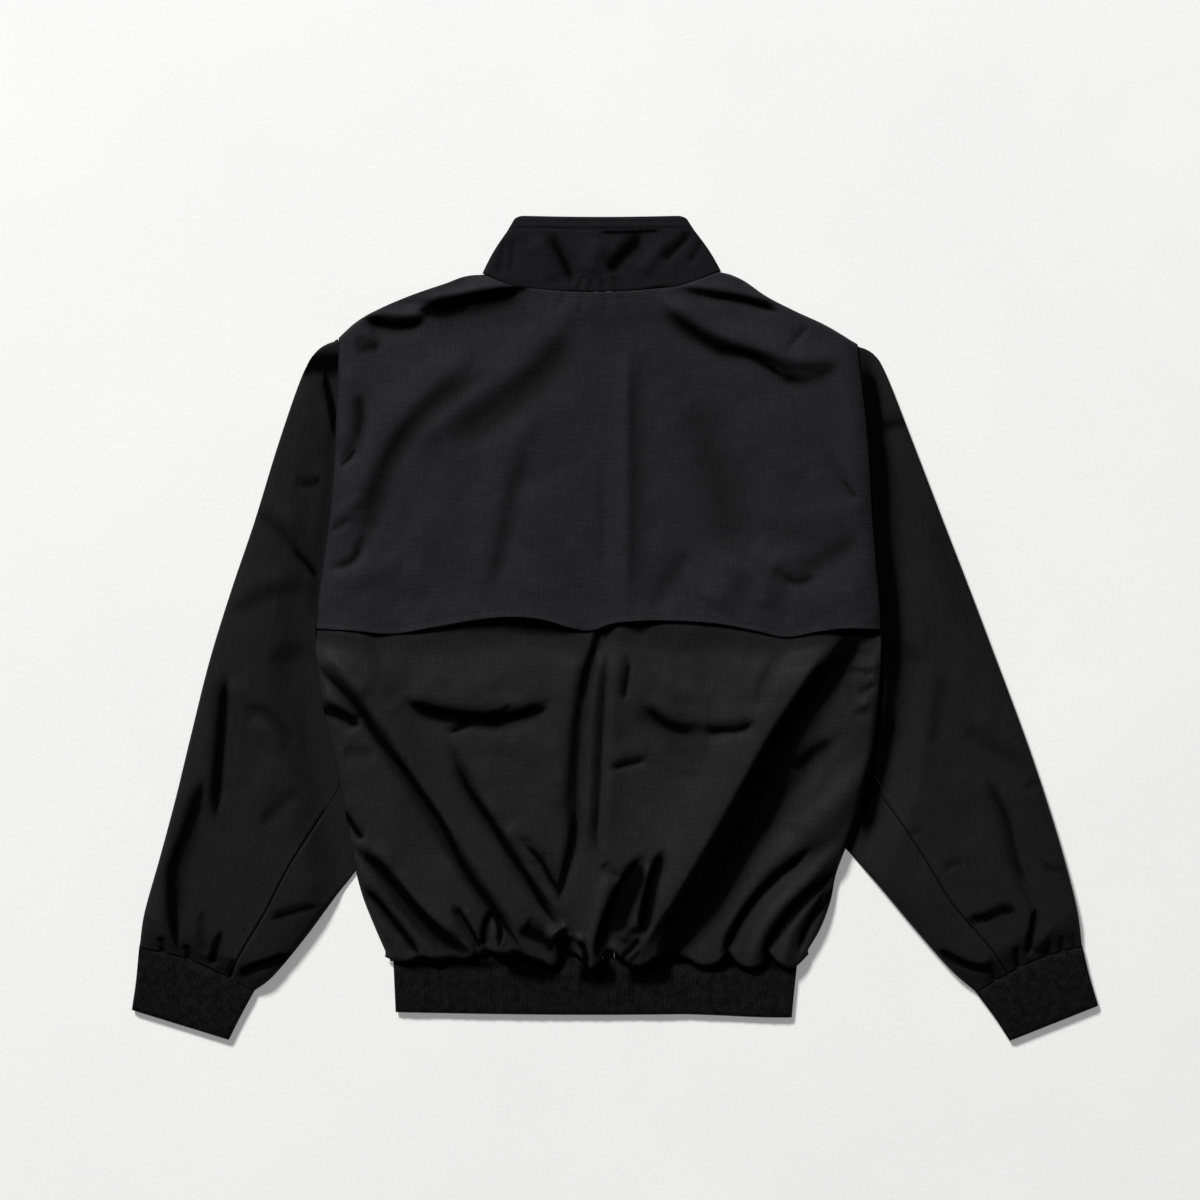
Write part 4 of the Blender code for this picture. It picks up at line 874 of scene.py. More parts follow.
# %% The yoke's folds
YOKE_FOLDS = (
    # overlapping folds beside the neck
    (6.0, 8, 6, [(418, 302), (448, 297), (480, 291), (526, 286)]),
    (-2.6, 5, 11, [(424, 312), (450, 308), (480, 302), (520, 295)]),
    (4.5, 6, 6, [(362, 316), (385, 315), (405, 316), (430, 313)]),
    (-2.4, 4, 9, [(368, 325), (385, 327), (403, 328), (426, 326)]),
    (-1.4, 6, 6, [(354, 344), (368, 346), (384, 350)]),
    (5.0, 14, 8, [(656, 296), (680, 314), (704, 328), (734, 341), (766, 351), (800, 362), (838, 360)]),
    (-3.0, 5, 10, 0.1, [(664, 314), (700, 339), (727, 351), (760, 361), (783, 374), (808, 384)]),
    (3.0, 7, 4, 0.1, [(680, 287), (710, 291), (735, 294), (778, 305)]),
    (-2.8, 4, 6, 0.2, [(680, 292), (710, 297), (733, 301), (757, 306), (780, 312)]),
    (-1.2, 3, 3, 0.2, [(786, 352), (796, 340), (808, 327)]),
    # long draping lines on the left
    (3.4, 14, 24, [(578, 304), (555, 332), (528, 361), (487, 390), (442, 420), (408, 450)]),
    (-2.4, 16, 14, [(572, 338), (552, 364), (524, 396), (486, 424), (450, 446)]),
    (3.4, 11, 24, [(480, 352), (446, 374), (414, 402), (386, 438), (364, 484), (342, 528)]),
    (-2.6, 11, 9, [(494, 372), (454, 394), (415, 430), (391, 467), (372, 525), (356, 560)]),
    (2.0, 11, 20, [(546, 404), (520, 440), (501, 490), (494, 545), (484, 590)]),
    (-1.4, 10, 9, [(532, 450), (513, 508), (503, 550), (492, 590)]),
    (1.5, 30, 28, [(534, 480), (538, 540), (542, 608)]),
    (1.6, 20, 20, [(440, 500), (420, 550), (410, 600)]),
    # the pressed centre crease
    (2.6, 6, 12, 0.3, [(627, 340), (627, 420), (627, 520), (626, 622)]),
    (-1.2, 10, 8, [(640, 350), (642, 440), (643, 540), (642, 610)]),
    (-0.7, 4, 4, 0.2, [(602, 466), (603, 520), (602, 576)]),
    # soft unevenness on the right
    (-2.0, 22, 18, [(690, 400), (716, 470), (738, 560)]),
    (1.8, 20, 20, [(740, 400), (776, 470), (800, 540)]),
    (1.3, 14, 18, [(790, 528), (826, 516), (864, 506)]),
    (-1.2, 5, 6, 0.1, [(826, 452), (842, 480), (860, 504)]),
    (1.3, 16, 20, [(746, 556), (776, 566), (812, 556)]),
    (-1.5, 5, 6, 0.1, [(770, 568), (790, 580), (812, 578)]),
    (-1.2, 11, 11, [(796, 578), (830, 556), (862, 534)]),
    (1.9, 18, 20, [(786, 606), (824, 597), (864, 586)]),
    (2.6, 14, 20, [(742, 560), (728, 584), (712, 610)]),
    (-1.6, 10, 10, [(690, 552), (670, 582), (650, 612)]),
    (1.6, 12, 12, [(784, 548), (770, 580), (762, 612)]),
    # puckers along the left armhole
    (-2.6, 5, 6, 0.1, [(361, 392), (361, 420), (356, 448), (338, 468)]),
    (1.4, 10, 10, [(348, 366), (344, 410), (340, 450)]),
    (1.1, 7, 12, [(328, 520), (348, 510), (370, 494)]),
    (-1.8, 5, 4, 0.2, [(366, 536), (352, 561), (332, 569)]),
    (1.5, 10, 14, [(404, 558), (366, 576), (332, 580)]),
    (-1.4, 4, 4, 0.2, [(330, 532), (340, 528), (350, 518)]),
    # tiny gathers at the neck seam
    (-0.7, 3, 3, 0.2, [(566, 290), (563, 300), (556, 312)]),
    (-0.7, 3, 3, 0.2, [(584, 292), (583, 303), (578, 318)]),
    (-0.6, 3, 3, 0.2, [(604, 293), (606, 303), (606, 316)]),
    (-0.6, 3, 3, 0.2, [(622, 293), (625, 302), (632, 314)]),
)
YOKE_SHADED = (             # painted shade where a fold lies over itself
    (2.2, 3.6, 5.4, [(419, 311), (432, 310), (450, 306), (470, 301)]),
    (2.2, 2.4, 3.2, [(440, 307), (466, 300), (490, 295), (514, 291), (532, 289)]),
    (0.5, 6, 10, [(426, 322), (460, 312), (500, 304), (534, 296)]),
    (2.2, 2.6, 3.2, [(364, 318), (378, 322), (394, 326), (410, 325), (426, 318)]),
    (0.6, 5, 5, [(356, 352), (368, 349), (380, 344)]),
    # painted shade on the strip beyond those folds, which leans away from the eye
    (0.45, 8, 7, [(344, 322), (376, 306), (410, 296), (446, 284), (484, 274)]),
    (0.55, 5, 7, [(664, 308), (682, 322), (700, 336), (720, 349), (740, 354)]),
    (1.5, 2.2, 2.8, [(712, 345), (728, 351), (748, 355), (766, 365), (782, 376)]),
    (0.7, 5, 7, [(776, 374), (800, 380), (820, 374), (838, 364)]),
    (1.3, 2.0, 2.4, [(704, 297), (722, 297), (740, 300), (762, 306), (780, 313)]),
    (0.5, 3, 4, [(781, 573), (793, 581), (805, 580), (814, 572)]),
    (0.3, 7, 7, [(808, 568), (830, 554), (856, 536)]),
    (0.45, 3, 3, [(362, 546), (352, 561), (337, 567)]),
    (0.35, 5, 5, [(361, 395), (361, 418), (357, 440)]),
    (0.6, 1.8, 1.8, [(357, 448), (350, 458), (339, 468)]),
    (0.5, 2.0, 2.0, [(840, 478), (848, 488), (856, 498)]),
)


YOKE_FOLD_STRENGTH = 1.3    # by which the table's heights are raised
YOKE_WIDTH = 488.0          # at the shoulders
YOKE_FINE = 12.0            # the grid's rows are finer this near to the top and to the hem
STITCHED_AT = 6.0           # from the yoke's edges to its topstitching


def yoke_height(x, y):
    inside = np.maximum(edge_distance(x, y), 0.0)
    above_hem, to_top = np.maximum(y - yoke_hem(x), 0.0), np.maximum(top_edge(x) - y, 0.0)
    roll = 2.4 * (1 - np.exp(-inside / 4.0)) + 3.2 * (1 - np.exp(-inside / 14.0))
    right_roll = 1.8 * bell(body_edge(y, "right") - x - 13, 12.0)
    tacked = sum(bell(x - tack_x, 24.0) for tack_x in YOKE_TACKS_X)
    # the hem stands clear of the back between its tacks, and the cloth above it slopes up to it
    hem_lift = 4.6 * (1 - 0.85 * np.minimum(tacked, 1)) * np.exp(-above_hem / 34.0) * ease(inside / 30)
    crumples = uneven(x, y, 0.42, 3, 0.06, 9)
    height = YOKE_REST + roll + right_roll + hem_lift + neck_rise(x, y) + crumples
    folds = YOKE_FOLD_STRENGTH * fold_heights(x, y, YOKE_FOLDS)
    height = height + folds * ease(inside / 10 + 0.3) * ease(above_hem / 14 + 0.35)
    lowest = YOKE_REST + neck_rise(x, y) + 2.6 * ease((24.0 - y) / 30.0) * ease(inside / 30)
    height = at_least(height, lowest, SOFTEN)
    # the faced edge is a soft bead, and the topstitching pulls a shallow line beside it
    height = height + 0.12 * bell(above_hem - 1.4, 1.1) - 0.16 * bell(above_hem - STITCHED_AT, 1.2)
    # it rolls down to the shoulders, and ends higher at the neck, where it lies against the collar
    neck = ease((x - NECK_X[0] + 2) / 4) * ease((NECK_X[1] + 2 - x) / 4)
    edge = 3.0 * (1 - neck) + (COLLAR_Z - 1.0) * neck
    return edge + np.maximum(height - edge, 0) * quarter_round(to_top / (4.6 - 2.6 * neck))


def back_yoke():
    edge_places = np.array([0.2, 0.8, 1.6, 2.8, 4.4, 6.4, 9.0])
    from_top = spaced((1.2, 0.4), (3.6, 0.8), (8.0, 1.4), (YOKE_FINE, 2.0))
    from_hem = spaced((3.6, 0.6), (8.4, 0.8), (YOKE_FINE, 1.2))[::-1]
    middle = np.linspace(0, 1, 124)[1:-1]
    across = np.linspace(0, 1, 208)
    near = edge_places / YOKE_WIDTH
    across = np.concatenate([near[:-1], near[-1] + (1 - 2 * near[-1]) * across, 1 - near[:-1][::-1]])[None, :]
    left, right = TOP_EDGE[0][0], TOP_EDGE[-1][0]
    high = top_edge(left + (right - left) * across)
    hem_x = YOKE_HEM[0][0] + (YOKE_HEM[-1][0] - YOKE_HEM[0][0]) * across
    low = yoke_hem(hem_x)
    y = np.concatenate([
        high - from_top[:, None],
        (high - YOKE_FINE) + (low - high + 2 * YOKE_FINE) * middle[:, None],
        low + from_hem[:, None],
    ])
    left, right = (body_edge(np.clip(y, -20, SHOULDER_Y), side) for side in ("left", "right"))
    x = left + (right - left) * across
    z = yoke_height(x, y)
    # painted shade along the yoke's edges, together with its folds' painted shade
    painted_seam_shade = 0.7 * bell(edge_distance(x, y), 1.3)
    painted_shade = np.maximum(painted_shade_map(x, y, YOKE_FOLDS, YOKE_SHADED), painted_seam_shade)
    return cloth("back_yoke_cloth", x[::-1], y[::-1], z[::-1], yoke_twill, ["back_yoke"],
                 painted_shade=painted_shade[::-1])


yoke_cloth = back_yoke()

# %% [markdown]
# ## The back panel under the yoke
#
# Only now is the height of the yoke's hem known everywhere, so the back panel can be laid up to it.

# %% The back panel under the yoke
back_cloth = back_panel()

# %% [markdown]
# ## The fronts
#
# The fronts lie face down on the floor, so they are flat where they rest. Only their sides rise, where
# they pass over the sleeves. They are cut plain here, with the zip between them.

# %% The fronts
def front_neck_y(x):
    left, right = SHOULDERS["left"][0], SHOULDERS["right"][0]
    side = np.where(x < CENTRE_X, left[1], right[1])
    reach = np.where(x < CENTRE_X, left[0] - CENTRE_X, right[0] - CENTRE_X)
    return side - 75.0 * np.clip(1 - ((x - CENTRE_X) / reach) ** 2, 0, 1) ** 0.6


def front_panel(side):
    start_x, shoulder = FRONT_EDGE_X[side], SHOULDERS[side]
    neck_x = start_x + (shoulder[0][0] - start_x) * np.linspace(0, 1, 25) ** 0.8
    on_shoulder = np.linspace(0, 1, 31)[1:]
    shoulder_x, shoulder_y = along(shoulder, on_shoulder)
    top_x = np.concatenate([neck_x, shoulder_x])
    top_y = np.concatenate([front_neck_y(neck_x), shoulder_y]) - 1.2
    reach = np.concatenate([np.linspace(0, 0.45, 25), 0.45 + 0.55 * on_shoulder ** 0.8])
    share = np.linspace(0.0, 1.0, 110)[:, None] ** 0.85
    hem_x = body_edge(HEM_SEAM_Y, side)
    y = top_y * (1 - share) + hem_seam_y(start_x + (hem_x - start_x) * reach) * share
    edge = body_edge(np.clip(y[:, -1:], HEM_SEAM_Y, SHOULDER_Y), side) - OUT[side] * 0.4
    follow = np.clip(1 - share / 0.35, 0, 1) ** 1.5
    x = (start_x + (edge - start_x) * reach) * (1 - follow) + top_x * follow
    x[:, -1:] = edge
    z = FRONT_LIFT * over_sleeve(x, y) + 0.25 * np.maximum(crumple(x, y, seed=21), 0)
    if side == "left":
        x, y, z = x[:, ::-1], y[:, ::-1], z[:, ::-1]
    return cloth(f"front_{side}_cloth", x, y, z, body_twill, [f"front_{side}"])


front_left_cloth, front_right_cloth = front_panel("left"), front_panel("right")

# %% [markdown]
# ## The sleeves
#
# Each sleeve has an upper piece, which wraps round the outer fold, and an under piece, which wraps round
# the inner fold. They meet in one back seam that shows, and in one below that doesn't. The cloth lies
# almost flat, with a few long folds, and is gathered into the cuff.

# %% The sleeves' folds
SLEEVE_FOLDS_LEFT = (
    (-5.5, 6, 7, 0.3, [(298, 368), (316, 366), (340, 376)]),
    (-4.0, 5, 5, 0.4, [(324, 376), (330, 406), (339, 442)]),
    (3.0, 8, 8, [(306, 388), (314, 420), (322, 460)]),
    (-6.5, 5, 7, 0.3, [(204, 774), (198, 800), (190, 826), (180, 850), (174, 872), (174, 896), (176, 920),
                       (179, 952)]),
    (3.5, 12, 8, [(214, 790), (202, 826), (190, 866), (188, 920)]),
    (-4.5, 3.5, 8, 0.2, [(226, 672), (224, 720), (222, 768), (219, 816)]),
    (2.6, 12, 8, [(238, 670), (236, 720), (233, 790)]),
    (-2.8, 5, 5, 0.1, [(256, 508), (284, 536), (304, 560), (318, 576)]),
    (2.0, 8, 10, [(276, 504), (302, 532), (322, 556)]),
    (-1.8, 9, 9, [(230, 618), (260, 600), (290, 592), (320, 584)]),
    (1.4, 12, 12, [(228, 600), (262, 584), (294, 576)]),
    (-2.0, 5, 5, 0.1, [(296, 486), (308, 484), (322, 480)]),
    (-2.4, 5, 8, 0.1, [(246, 706), (266, 712), (282, 724), (296, 746)]),
    (1.8, 8, 8, [(250, 724), (270, 732), (284, 750)]),
    (-1.2, 3, 3, 0.1, [(301, 668), (304, 710), (305, 764)]),
    (1.8, 10, 10, [(280, 752), (262, 800), (250, 850)]),
    (-1.8, 6, 6, [(262, 826), (282, 806), (302, 786)]),
    (-2.8, 4, 5, 0.2, [(272, 916), (294, 909), (320, 904)]),
    (2.0, 6, 8, [(290, 888), (308, 882), (330, 878)]),
    # gathers at the cuff
    (-4.0, 3, 3, 0.4, [(162, 934), (164, 944), (164, 960)]),
    (-2.6, 5, 5, 0.1, [(206, 906), (204, 930), (207, 954)]),
    (-5.0, 3.5, 3.5, 0.3, [(222, 930), (218, 944), (213, 966)]),
    (3.4, 6, 5, 0.1, [(226, 914), (224, 940), (222, 958)]),
    (-3.0, 3, 3, 0.4, [(188, 942), (190, 952), (190, 966)]),
    (-3.0, 3, 3, 0.4, [(236, 956), (234, 966), (230, 978)]),
    (-5.5, 4, 5, 0.2, [(240, 974), (256, 965), (272, 960), (290, 953)]),
    (3.0, 8, 5, [(246, 958), (262, 950), (284, 940)]),
)
SLEEVE_FOLDS_RIGHT = (
    (-5.0, 6, 6, 0.3, [(868, 372), (872, 396), (874, 430)]),
    (-3.2, 5, 5, 0.3, [(874, 430), (890, 424), (908, 422)]),
    (2.0, 14, 14, [(900, 560), (914, 640), (918, 700), (920, 790)]),
    (-1.4, 12, 12, [(928, 500), (952, 580), (972, 650)]),
    (-1.4, 7, 9, [(944, 676), (938, 720), (930, 750)]),
    (-1.8, 5, 6, 0.1, [(964, 722), (980, 742), (998, 754), (1030, 768)]),
    (1.6, 8, 6, [(972, 712), (992, 734), (1020, 748)]),
    (-2.6, 4, 8, 0.1, [(984, 776), (996, 798), (1005, 818), (1011, 850), (1018, 874), (1031, 896)]),
    (2.0, 10, 6, [(1000, 784), (1014, 816), (1022, 850), (1034, 880)]),
    (-4.8, 3, 3, 0.4, [(1033, 906), (1030, 926), (1026, 956)]),
    (3.0, 6, 6, 0.1, [(1044, 906), (1040, 930), (1036, 952)]),
    (3.0, 9, 5, [(960, 904), (982, 900), (1006, 894)]),
    (-4.4, 4, 6, 0.2, [(964, 917), (984, 915), (998, 908), (1014, 904)]),
    (-2.6, 4, 4, 0.2, [(1022, 790), (1032, 784), (1046, 780)]),
    (2.0, 5, 4, [(1026, 798), (1036, 793), (1050, 790)]),
    (-2.6, 4, 4, 0.1, [(1040, 864), (1050, 869), (1064, 869)]),
    (-1.8, 3, 3, 0.2, [(944, 872), (950, 864), (962, 864)]),
    (1.8, 4, 4, [(950, 877), (958, 872), (966, 875)]),
    (-1.2, 3, 3, 0.2, [(908, 836), (914, 832), (922, 832)]),
    (-4.8, 4, 3.5, 0.3, [(938, 948), (954, 958), (972, 966), (990, 970)]),
    (2.4, 8, 6, [(950, 940), (968, 950), (990, 958)]),
    # gathers at the cuff
    (-3.6, 3, 3, 0.4, [(1014, 944), (1016, 956), (1018, 970)]),
    (-2.4, 3, 3, 0.3, [(1046, 940), (1047, 950), (1048, 962)]),
    (-2.4, 3, 3, 0.3, [(1060, 934), (1061, 944), (1062, 956)]),
    (-2.0, 3, 3, 0.3, [(1072, 930), (1073, 940), (1074, 950)]),
    (-3.0, 3, 3, 0.4, [(986, 960), (990, 970), (996, 984)]),
)
SLEEVE_FOLDS = {"left": SLEEVE_FOLDS_LEFT, "right": SLEEVE_FOLDS_RIGHT}
SLEEVE_SHADED = {           # painted shade: the body's shadow beside it, and the tucked head of each sleeve
    "left": (
        (1.7, 8, 8, [(294, 368), (308, 364), (322, 362), (346, 360)]),
        (1.8, 2.6, 2.6, [(325, 374), (331, 402), (338, 438)]),
        (0.45, 7, 7, [(334, 400), (330, 460), (324, 520), (316, 580), (312, 640)]),
        (0.6, 3, 3, [(300, 484), (312, 482), (322, 476)]),
        (0.9, 2.2, 2.2, [(292, 548), (306, 562), (318, 578)]),
        (0.8, 2.4, 3.4, [(228, 672), (225, 720), (221, 768), (216, 826)]),
        (0.45, 8, 5, [(228, 672), (222, 730), (214, 790), (213, 826)]),
        (1.7, 2.6, 3.0, [(206, 774), (200, 800), (190, 828), (180, 852), (174, 872), (174, 896), (176, 920),
                         (180, 956)]),
        (0.5, 8, 6, [(206, 780), (198, 810), (192, 840), (182, 870), (181, 920)]),
        (1.2, 2.2, 2.2, [(224, 926), (219, 944), (214, 962)]),
        (1.5, 3.4, 4.2, [(238, 976), (256, 966), (274, 960), (294, 950)]),
        (0.7, 2.0, 3.0, [(268, 918), (294, 910), (324, 902)]),
    ),
    "right": (
        (1.7, 9, 8, [(861, 340), (864, 366), (868, 392), (872, 423), (876, 459), (877, 496), (878, 530),
                     (882, 566), (887, 601), (889, 640), (889, 690), (887, 728)]),
        (0.45, 14, 8, [(884, 420), (888, 500), (890, 600), (892, 700), (884, 770)]),
        (1.5, 8, 8, [(888, 700), (884, 740), (878, 772), (870, 806), (864, 842)]),
        (1.0, 2.2, 2.2, [(882, 428), (894, 424), (906, 422)]),
        (1.3, 2.0, 3.6, [(962, 917), (980, 916), (996, 910), (1016, 906)]),
        (1.3, 1.8, 1.8, [(1033, 904), (1030, 928), (1026, 954)]),
        (1.5, 3.2, 3.0, [(934, 946), (954, 958), (974, 966), (994, 972)]),
        (0.35, 2.4, 5.0, [(984, 774), (998, 802), (1008, 826), (1014, 856), (1026, 888)]),
        (0.3, 3.0, 3.0, [(1014, 880), (1026, 900), (1031, 918)]),
    ),
}


SLEEVE_TUCK = 0.5           # how far the sleeve's edge is tucked under the body's at the armhole


def tube_top(across, width, edge_z, height, flatness=4.0):
    """The upper side of a flattened tube: a quarter round at each fold, then a broad crown."""
    near = np.minimum(across, 1 - across) * width
    crown = (1 - np.abs(2 * across - 1) ** flatness) ** 0.6
    lift = np.maximum(height - edge_z, 0.0)
    rolled = np.minimum(lift, edge_z)
    return edge_z + rolled * quarter_round(near / edge_z) + (lift - rolled) * crown


def read_sections(rows, names, at):
    """Every column of a table of sections, read at places between its rows."""
    keys = np.arange(len(rows))
    return {name: smooth_curve(keys, column(rows, names, name), at)[:, None] for name in names}


def sleeve_sections(side, count):
    last = len(SLEEVES[side]) - 1
    at = np.linspace(0, last, count)
    read = read_sections(SLEEVES[side], SLEEVE_COLUMNS, at)
    read["down"] = (at / last)[:, None]
    first = np.hypot(read["corner_x"] - read["outer_x"], read["corner_y"] - read["outer_y"])
    second = np.hypot(read["inner_x"] - read["corner_x"], read["inner_y"] - read["corner_y"])
    read["width"], read["turn"] = first + second, first / (first + second)
    middle_x, middle_y = (read["outer_x"] + read["inner_x"]) / 2, (read["outer_y"] + read["inner_y"]) / 2
    steps = np.hypot(np.diff(middle_x[:, 0]), np.diff(middle_y[:, 0]))
    read["length"] = np.concatenate([[0.0], np.cumsum(steps)])[:, None]
    return read


def sleeve_points(side, read, across):
    out, turn = OUT[side], read["turn"]
    before, after = np.minimum(across / turn, 1.0), np.maximum((across - turn) / (1 - turn), 0.0)
    x = read["outer_x"] + (read["corner_x"] - read["outer_x"]) * before
    y = read["outer_y"] + (read["corner_y"] - read["outer_y"]) * before
    armhole_x = body_edge(np.minimum(y, SHOULDER_Y), side) - out * SLEEVE_TUCK
    on_armhole = bell(read["down"], 0.02) * ease((SHOULDER_Y + 1.0 - y) / 2.0)
    x = x + (armhole_x - x) * on_armhole
    x = x + (read["inner_x"] - read["corner_x"]) * after
    y = y + (read["inner_y"] - read["corner_y"]) * after
    bow = 8.0 * np.clip((read["down"] - 0.8) / 0.2, 0, 1) * np.sin(math.pi * across) ** 1.2
    return x + 0.35 * bow * out, y + bow * 0.9


def sleeve_top(x, y, across, read, side):
    outside = OUT[side] * (x - body_edge(np.clip(y, HEM_SEAM_Y, SHOULDER_Y), side))
    under = ease((-8.0 - y) / 26.0)
    seam_z = SLEEVE_SEAM_Z + (SLEEVE_UNDER_Z - SLEEVE_SEAM_Z) * under
    rise = ease((outside - 13.0 * under) / 38.0)
    height = seam_z + np.maximum(read["puff"] - seam_z, 0.0) * rise
    moved = fold_heights(x, y, SLEEVE_FOLDS[side]) + uneven(x, y, 0.45, 17, 0.08, 18)
    height = at_least(height + rise * moved, SLEEVE_UNDER_Z, 0.5)
    height = np.where(rise > 0, height, seam_z)
    edge_z = np.minimum(np.where(across < 0.5, read["outer_roll"], read["inner_roll"]), 0.52 * height)
    z = tube_top(across, read["width"], edge_z, height)
    # the back seam lies in a fine groove with the seam allowance as a low bead beside it
    from_seam = (across - read["seam"]) * read["width"]
    groove = 0.9 * bell(from_seam, 1.1) - 0.35 * bell(from_seam + 2.6, 1.5)
    return np.where(z > 4.5, z - groove * ease((read["down"] - 0.30) / 0.1), z)


# %% [markdown]
# ## The two pieces of a sleeve
#
# One grid wraps half round the flattened tube. Its columns run round the sleeve, close together on the
# tight fold and beside the seam, and its rows run down to the cuff. The underside lies flat on the floor.

# %% The sleeves
SLEEVE_ROWS = 210


def sleeve_piece(side, piece):
    read = sleeve_sections(side, SLEEVE_ROWS)
    half_gap = 0.25 / read["width"]
    round_steps = np.array([0.15, 0.45, 1.0, 1.9, 3.2])
    if piece == "upper":
        fold, sign = 0.0, 1.0
        bottom_limit, top_limit = read["turn"] - half_gap, read["seam"] - half_gap
        top_count, bottom_count = 58, 10
    else:
        fold, sign = 1.0, -1.0
        bottom_limit, top_limit = read["turn"] + half_gap, read["seam"] + half_gap
        top_count, bottom_count = 26, 8
    rounded = fold + sign * round_steps / read["width"]
    beside = rounded[:, -1:]
    top_across = beside + (top_limit - beside) * np.linspace(0, 1, top_count)[1:]
    seam_side = top_limit - sign * np.array([2.2, 1.2, 0.5, 0.0]) / read["width"]
    before_seam = np.where(sign * (seam_side[:, :1] - top_across) > 0, top_across, seam_side[:, :1])
    top_across = np.concatenate([before_seam[:, :-1], seam_side], axis=1)
    bottom_across = bottom_limit + (beside - bottom_limit) * np.linspace(0, 1, bottom_count)
    curl = rounded[:, ::-1][:, 1:]
    across = np.concatenate([bottom_across, curl, fold + 0 * half_gap, rounded, top_across], axis=1)
    x, y = sleeve_points(side, read, across)
    z = sleeve_top(x, y, across, read, side)
    # the underside lies on the floor and curls up to the fold's middle
    flat, folded = bottom_across.shape[1], bottom_across.shape[1] + curl.shape[1]
    z[:, :flat] = 0.0
    near = np.abs(across[:, flat:folded] - fold) * read["width"]
    z[:, flat:folded] = z[:, folded:folded + 1] * (1 - quarter_round(near / round_steps[-1]))
    grain = (across * read["width"], -read["length"] + 0 * across)
    # painted shade in the sleeve's troughs, and the body's painted shadow beside it
    painted_shade = np.where(z > 3.0, painted_shade_map(x, y, SLEEVE_FOLDS[side], SLEEVE_SHADED[side]), 0.0)
    if (side == "left") == (piece == "upper"):
        x, y, z, painted_shade, grain = x[::-1], y[::-1], z[::-1], painted_shade[::-1], (grain[0][::-1], grain[1][::-1])
    name = f"sleeve_{side}_{piece}"
    return cloth(f"{name}_cloth", x, y, z, sleeve_twill, [name], grain=grain, painted_shade=painted_shade)


sleeve_cloths = {(side, piece): sleeve_piece(side, piece)
                 for side in ("left", "right") for piece in ("upper", "under")}

# %% [markdown]
# ## Rib knit bands
#
# Rib knit is a row of fine cords with valleys between them. The rule is simple, so Geometry Nodes raises
# them: each point of a fine grid knows how far it lies round the band, and moves along its normal by a
# sine of that distance. Real ribs here are about 2.2 mm apart; 2.5 mm shows more clearly at this size.
# At the end the result becomes a plain mesh. start_tree, finish_tree and run_tree hold what such a rule
# always needs, and the stitches below use them too.

# %% Ribs
RIB_PITCH = 2.5
RIB_DEPTH = 0.5
KNIT_FOLD_Z = 3.8
KNIT_LIFT = 0.5             # the knit's underside, so that its cords stay above the floor


def start_tree(name, **settings):
    """A geometry tree with its settings, their identifiers and the sockets that it is given."""
    tree = bpy.data.node_groups.new(name, "GeometryNodeTree")
    identifiers = {}
    for label, kind in {"Geometry": "Geometry", **settings, "Finish": "Material"}.items():
        socket = tree.interface.new_socket(name=label, in_out="INPUT", socket_type=f"NodeSocket{kind}")
        identifiers[label] = socket.identifier
    tree.interface.new_socket(name="Geometry", in_out="OUTPUT", socket_type="NodeSocketGeometry")
    return tree, identifiers, add_node(tree, "NodeGroupInput").outputs


def finish_tree(tree, geometry, finish):
    real = add_node(tree, "GeometryNodeRealizeInstances", {"Geometry": geometry})
    done = add_node(tree, "GeometryNodeSetMaterial", {"Geometry": real.outputs[0], "Material": finish})
    add_node(tree, "NodeGroupOutput", {"Geometry": done.outputs[0]})


def run_tree(obj, tree, identifiers, **values):
    """Runs a tree on an object, which then gets the result as a plain mesh."""
    maker = obj.modifiers.new("Maker", "NODES")
    maker.node_group = tree
    for label, value in values.items():
        maker[identifiers[label]] = value
    graph = bpy.context.evaluated_depsgraph_get()
    mesh = bpy.data.meshes.new_from_object(obj.evaluated_get(graph), preserve_all_data_layers=True,
                                           depsgraph=graph)
    obj.modifiers.clear()
    obj.data = mesh
    obj.data.shade_smooth()


def rib_tree():
    tree, identifiers, given = start_tree("rib_cords", Pitch="Float", Depth="Float")
    around = add_node(tree, "GeometryNodeInputNamedAttribute", {"Name": "around"}, data_type="FLOAT")
    turns = maths(tree, "DIVIDE", around.outputs["Attribute"], given["Pitch"])
    wave = maths(tree, "SINE", maths(tree, "MULTIPLY", turns, 2 * math.pi))
    height = maths(tree, "MULTIPLY", wave, given["Depth"])
    normal = add_node(tree, "GeometryNodeInputNormal").outputs["Normal"]
    offset = add_node(tree, "ShaderNodeVectorMath", {0: normal, "Scale": height}, operation="SCALE")
    moved = add_node(tree, "GeometryNodeSetPosition", {
        "Geometry": given["Geometry"], "Offset": offset.outputs[0]})
    finish_tree(tree, moved.outputs[0], given["Finish"])
    return tree, identifiers


ribs, rib_inputs = rib_tree()


def raise_ribs(obj, around, finish):
    keep_on_points(obj.data, "around", around)
    run_tree(obj, ribs, rib_inputs, Pitch=RIB_PITCH, Depth=RIB_DEPTH * MM, Finish=finish)


print("ribs:", RIB_PITCH, "mm apart and", 2 * RIB_DEPTH, "mm high")

# %% [markdown]
# ## The cuffs
#
# Each cuff is a flattened tube of doubled knit, sewn to the gathered end of the sleeve.

# %% The cuffs
KNIT_THICKNESS = 1.6
CUFF_Z = 9.0
CUFF_COLUMNS = ("outer_x", "outer_y", "inner_x", "inner_y", "bow")
CUFFS = {
    "left": ((-446.2, -299.5, -338.2, -340.5, 8), (-449, -330, -351, -364, 3), (-453, -358, -362, -386, 0)),
    "right": ((439.2, -298.5, 339.2, -341.5, 8), (446, -327, 356, -364, 3), (454, -354, 371, -387, 0)),
}


def under_round(near, radius):
    """Height of the underside near a rolled fold: flat, then a quarter round up to the fold's middle."""
    return radius * (1 - quarter_round(near / radius))


